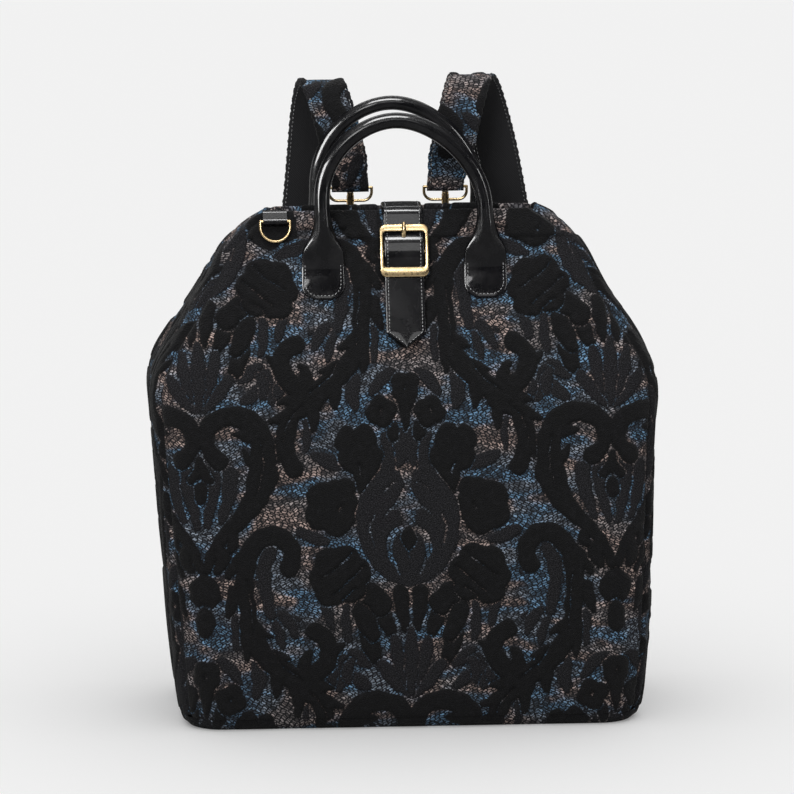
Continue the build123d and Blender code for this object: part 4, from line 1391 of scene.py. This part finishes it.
def shoulder_route(side):
    """The middle line of a shoulder strap"""
    peak = PEAK_HEIGHT - LEFT_PEAK_DROP * (side < 0)
    start = np.array([HOOK_X, HOOK_REACH, STRAP_START])
    near_leg = start + (np.array([PEAK_X, PEAK_REACH, peak]) - start) * np.array(NEAR_LEG_SHARES)
    low = np.array([PEAK_X, HOOK_REACH, ANCHOR_BOTTOM])
    rear_leg = low + (np.array([ANCHOR_X, REAR_REACH, peak]) - low) * np.array(REAR_LEG_SHARES)
    rear_leg[:, 0] += side * REAR_SWAY * np.array(SWAY_SHARES)
    sewn = np.array([ANCHOR_TOP - ANCHOR_MARGIN, ANCHOR_BOTTOM + ANCHOR_MARGIN])
    foot = np.stack([0 * sewn + ANCHOR_X, front_depth(sewn) + ANCHOR_LIE, sewn], axis=1)
    route = np.concatenate([near_leg, rear_leg, foot])
    return smooth_path(route * (side, 1, 1), SHOULDER_STEP, SHOULDER_BLEND)


def shoulder_strap(side, name):
    """A strap's two faces: the section runs across the damask face and back across the twill,
    and the damask face is raised by its pile"""
    path = shoulder_route(side)
    reach = lengths_along(path)
    along = tangents(path)
    face = unit(np.stack([0 * reach, -along[:, 2], along[:, 1]], axis=1))
    out = unit(face - along * np.sum(face * along, axis=1, keepdims=True))
    beside = np.cross(along, out)
    half = SHOULDER_END_HALF + (SHOULDER_HALF - SHOULDER_END_HALF) * smooth_step(*END_TAPER, reach)
    end_square = FOLD_HALF_THICK ** 2 - np.maximum(FOLD_HALF_THICK - reach, 0) ** 2
    round_end = np.sqrt(np.maximum(end_square, FOLD_LEAST_SQUARE))
    thinner = FOLD_HALF_THICK - SHOULDER_HALF_THICK
    thick = round_end - thinner * smooth_step(FOLD_LENGTH - FOLD_EASE, FOLD_LENGTH, reach)
    across, aside, rise = stadium(SHOULDER_FACE_STEPS, EDGE_STEPS)
    x = (half - SHOULDER_HALF_THICK)[:, None] * across + SHOULDER_HALF_THICK * aside
    edge_run = reach[:, None] * RAG_RATE + np.sign(x) * side
    ragged = EDGE_RAG * (np.sin(edge_run) + RAG_SECOND * np.sin(RAG_SECOND_RATE * edge_run + np.sign(x)))
    ragged = ragged * np.abs(x / half[:, None]) ** RAG_POWER * smooth_step(*RAG_START, reach[:, None])
    x = x + np.sign(x) * ragged
    level = thick[:, None]
    tile_across = STRAP_TILE_ACROSS + side * x / PIXEL
    tile_down = STRAP_TILE_DOWN - side * STRAP_TILE_STAGGER - reach[:, None] / PIXEL + 0 * x
    velvet, terry, height = pile(tile_across, tile_down)
    front = np.broadcast_to(rise > FACE_LEVEL, x.shape)
    raised = height * smooth_step(*PILE_EDGE, rise) * smooth_step(0, PILE_START, reach[:, None])
    y = level * rise + np.where(front, raised, 0)
    y = y + SHOULDER_CROWN * (1 - across ** 2) * np.sign(rise) * (aside == 0)
    points = path[:, None] + beside[:, None] * x[..., None] + out[:, None] * y[..., None]
    flat_first = path[:1, None] + beside[:1, None] * x[:1, :, None]
    flat_last = path[-1:, None] + beside[-1:, None] * x[-1:, :, None]
    points = np.concatenate([flat_first, points, flat_last])
    grids = (velvet, terry, tile_across, tile_down)
    velvet, terry, tile_across, tile_down = (repeat_ends(grid) for grid in grids)
    faces = grid_faces(len(points), len(across), wrap=True)
    uv = np.stack([tile_across, tile_down], axis=-1).reshape(-1, 2)
    piece = new_piece(name + "_shoulder_strap_cloth", points.reshape(-1, 3), faces, DAMASK_CLOTH,
                      nodes=(name + "_shoulder_strap",), uv=uv,
                      values={"velvet": velvet, "terry": terry})
    piece.data.materials.append(STRAP_BACK)
    section = np.arange(len(across))
    back = (rise <= BACK_LEVEL) & (rise[(section + 1) % len(section)] <= BACK_LEVEL)
    slots = np.tile(back, len(points) - 1).astype(np.int32)
    piece.data.polygons.foreach_set("material_index", slots)
    rows = []
    kept = reach > SHOULDER_STITCH_START
    for edge in (-1, 1):
        for face_side in (-1, 1):
            seam = path + beside * (edge * (half - SHOULDER_STITCH_INSET))[:, None]
            seam = seam + out * face_side * (level + SHOULDER_STITCH_PROUD)
            rows.append(stitches(seam[kept], out[kept] * face_side, SHOULDER_STITCH_PITCH))
    points, faces = join(rows)
    new_piece(name + "_shoulder_strap_stitches", points, faces, THREAD)


shoulder_strap(1, "right")
shoulder_strap(-1, "left")

# Hardware and small leather that keep the frame's own shape
for node in frame["nodes"]:
    if frame["nodes"][node].hide_render:
        continue
    finish = BRASS
    if node.endswith(("tab", "anchor", "loop", "chape")):
        finish = LEATHER
    if node == "base_board":
        finish = BOARD
    frame["nodes"][node].data.materials.clear()
    frame["nodes"][node].data.materials.append(finish)

# Studio: one pale floor that fills the view, a bright ceiling and softboxes in a dark room
FLOOR_COLOUR = (0.80, 0.80, 0.80, 1)
FLOOR_GLOW = 0.20
FLOOR_SIZE = 30.0
CAMERA_DISTANCE = 6.0
SENSOR = 36.0
IMAGE = 794.0
LENS_PLANE = 0.045
CEILING_LIGHT = 1.6
ROOM_LIGHT = 0.10
CEILING_LOW = 0.62
CEILING_HIGH = 0.78


def floor_finish():
    """Matt pale paper with a trace of its own light, so that it stays even to the far edge"""
    shader = Shader("pale_floor", Roughness=0.9, Specular_IOR_Level=0.1)
    surface = shader.surface.inputs
    surface["Base Color"].default_value = FLOOR_COLOUR
    surface["Emission Color"].default_value = (1, 1, 1, 1)
    surface["Emission Strength"].default_value = FLOOR_GLOW
    return shader.material


def studio():
    """The floor, and a room that is bright overhead and dark round the sides"""
    mesh = bpy.data.meshes.new("floor")
    half = FLOOR_SIZE / 2
    corners = [(-half, -half, 0), (half, -half, 0), (half, half, 0), (-half, half, 0)]
    mesh.from_pydata(corners, [], [(0, 1, 2, 3)])
    floor = bpy.data.objects.new("floor", mesh)
    mesh.materials.append(floor_finish())
    bpy.context.scene.collection.objects.link(floor)
    bag_only = bpy.data.collections.new("softbox_targets")
    bag_only.objects.link(floor)
    bag_only.collection_objects[0].light_linking.link_state = "EXCLUDE"
    world = bpy.data.worlds.new("studio")
    world.use_nodes = True
    nodes, links = world.node_tree.nodes, world.node_tree.links
    direction = nodes.new("ShaderNodeTexCoord").outputs["Generated"]
    height = nodes.new("ShaderNodeSeparateXYZ")
    links.new(direction, height.inputs[0])
    ceiling = nodes.new("ShaderNodeMapRange")
    ceiling.interpolation_type = "SMOOTHSTEP"
    links.new(height.outputs["Z"], ceiling.inputs[0])
    for socket, number in zip(ceiling.inputs[1:], (CEILING_LOW, CEILING_HIGH, ROOM_LIGHT, CEILING_LIGHT)):
        socket.default_value = number
    background = nodes["Background"]
    background.inputs["Color"].default_value = (1, 1, 1, 1)
    links.new(ceiling.outputs[0], background.inputs["Strength"])
    bpy.context.scene.world = world
    bpy.context.scene.view_settings.view_transform = "Standard"
    return bag_only


def soft_light(name, place, target, size, power, receivers):
    """A rectangular area light that faces its target and lights its receivers.
    The gloss lights show in reflections only"""
    lamp = bpy.data.lights.new(name, "AREA")
    lamp.shape = "RECTANGLE"
    lamp.size, lamp.size_y = size
    lamp.energy = power
    light = bpy.data.objects.new(name, lamp)
    light.location = place
    light.light_linking.receiver_collection = receivers
    light.visible_diffuse = receivers != GLOSS
    toward = np.array(target) - np.array(place)
    flat = math.hypot(toward[0], toward[1])
    light.rotation_euler = (math.atan2(flat, -toward[2]), 0.0, math.atan2(-toward[0], toward[1]))
    bpy.context.scene.collection.objects.link(light)


def gloss_targets():
    """Leather and its thread, which mirror three large boxes that the cloth does without"""
    targets = bpy.data.collections.new("gloss_targets")
    for piece in list(bpy.data.objects):
        if piece.type == "MESH" and piece.data.materials and piece.data.materials[0] in (LEATHER, THREAD):
            targets.objects.link(piece)
    return targets


def photo_camera():
    """A long lens at the photo's turn and tilt whose picture has the photo's scale and middle"""
    middle_row = middle_column = IMAGE / 2
    aside = (middle_column - AXIS_COLUMN) * PIXEL * METRE
    rise = (FLOOR_ROW - middle_row) * PIXEL * METRE
    z = (rise - FLOOR_REACH * METRE * math.sin(VIEW_TILT)) / math.cos(VIEW_TILT)
    data = bpy.data.cameras.new("camera")
    data.sensor_width = SENSOR
    data.lens = SENSOR * (CAMERA_DISTANCE - LENS_PLANE) / (IMAGE * PIXEL * METRE)
    camera = bpy.data.objects.new("camera", data)
    back = CAMERA_DISTANCE * math.cos(VIEW_TILT)
    camera.location = (aside * math.cos(VIEW_TURN) + back * math.sin(VIEW_TURN),
                       aside * math.sin(VIEW_TURN) - back * math.cos(VIEW_TURN),
                       z + CAMERA_DISTANCE * math.sin(VIEW_TILT))
    camera.rotation_euler = (math.pi / 2 - VIEW_TILT, 0.0, VIEW_TURN)
    bpy.context.scene.collection.objects.link(camera)
    bpy.context.scene.camera = camera


BAG = studio()
GLOSS = gloss_targets()
soft_light("key", (-0.8, -2.3, 1.75), (0, 0, 0.3), (0.7, 0.7), 50.0, BAG)
soft_light("front", (0.15, -2.4, 1.8), (0, 0, 0.3), (1.0, 0.5), 15.0, BAG)
soft_light("overhead", (-0.2, -0.75, 2.4), (0, 0, 0.3), (0.9, 0.3), 26.0, BAG)
soft_light("rim", (0.2, 1.9, 1.9), (0, 0, 0.35), (2.2, 0.3), 25.0, BAG)
soft_light("left_box", (-1.85, -1.05, 0.75), (0, 0, 0.4), (1.2, 1.2), 400.0, GLOSS)
soft_light("right_box", (1.9, -1.0, 0.7), (0, 0, 0.4), (0.3, 1.2), 60.0, GLOSS)
soft_light("overhead_box", (-0.15, -0.65, 2.45), (0, 0, 0.4), (1.4, 0.9), 280.0, GLOSS)
photo_camera()
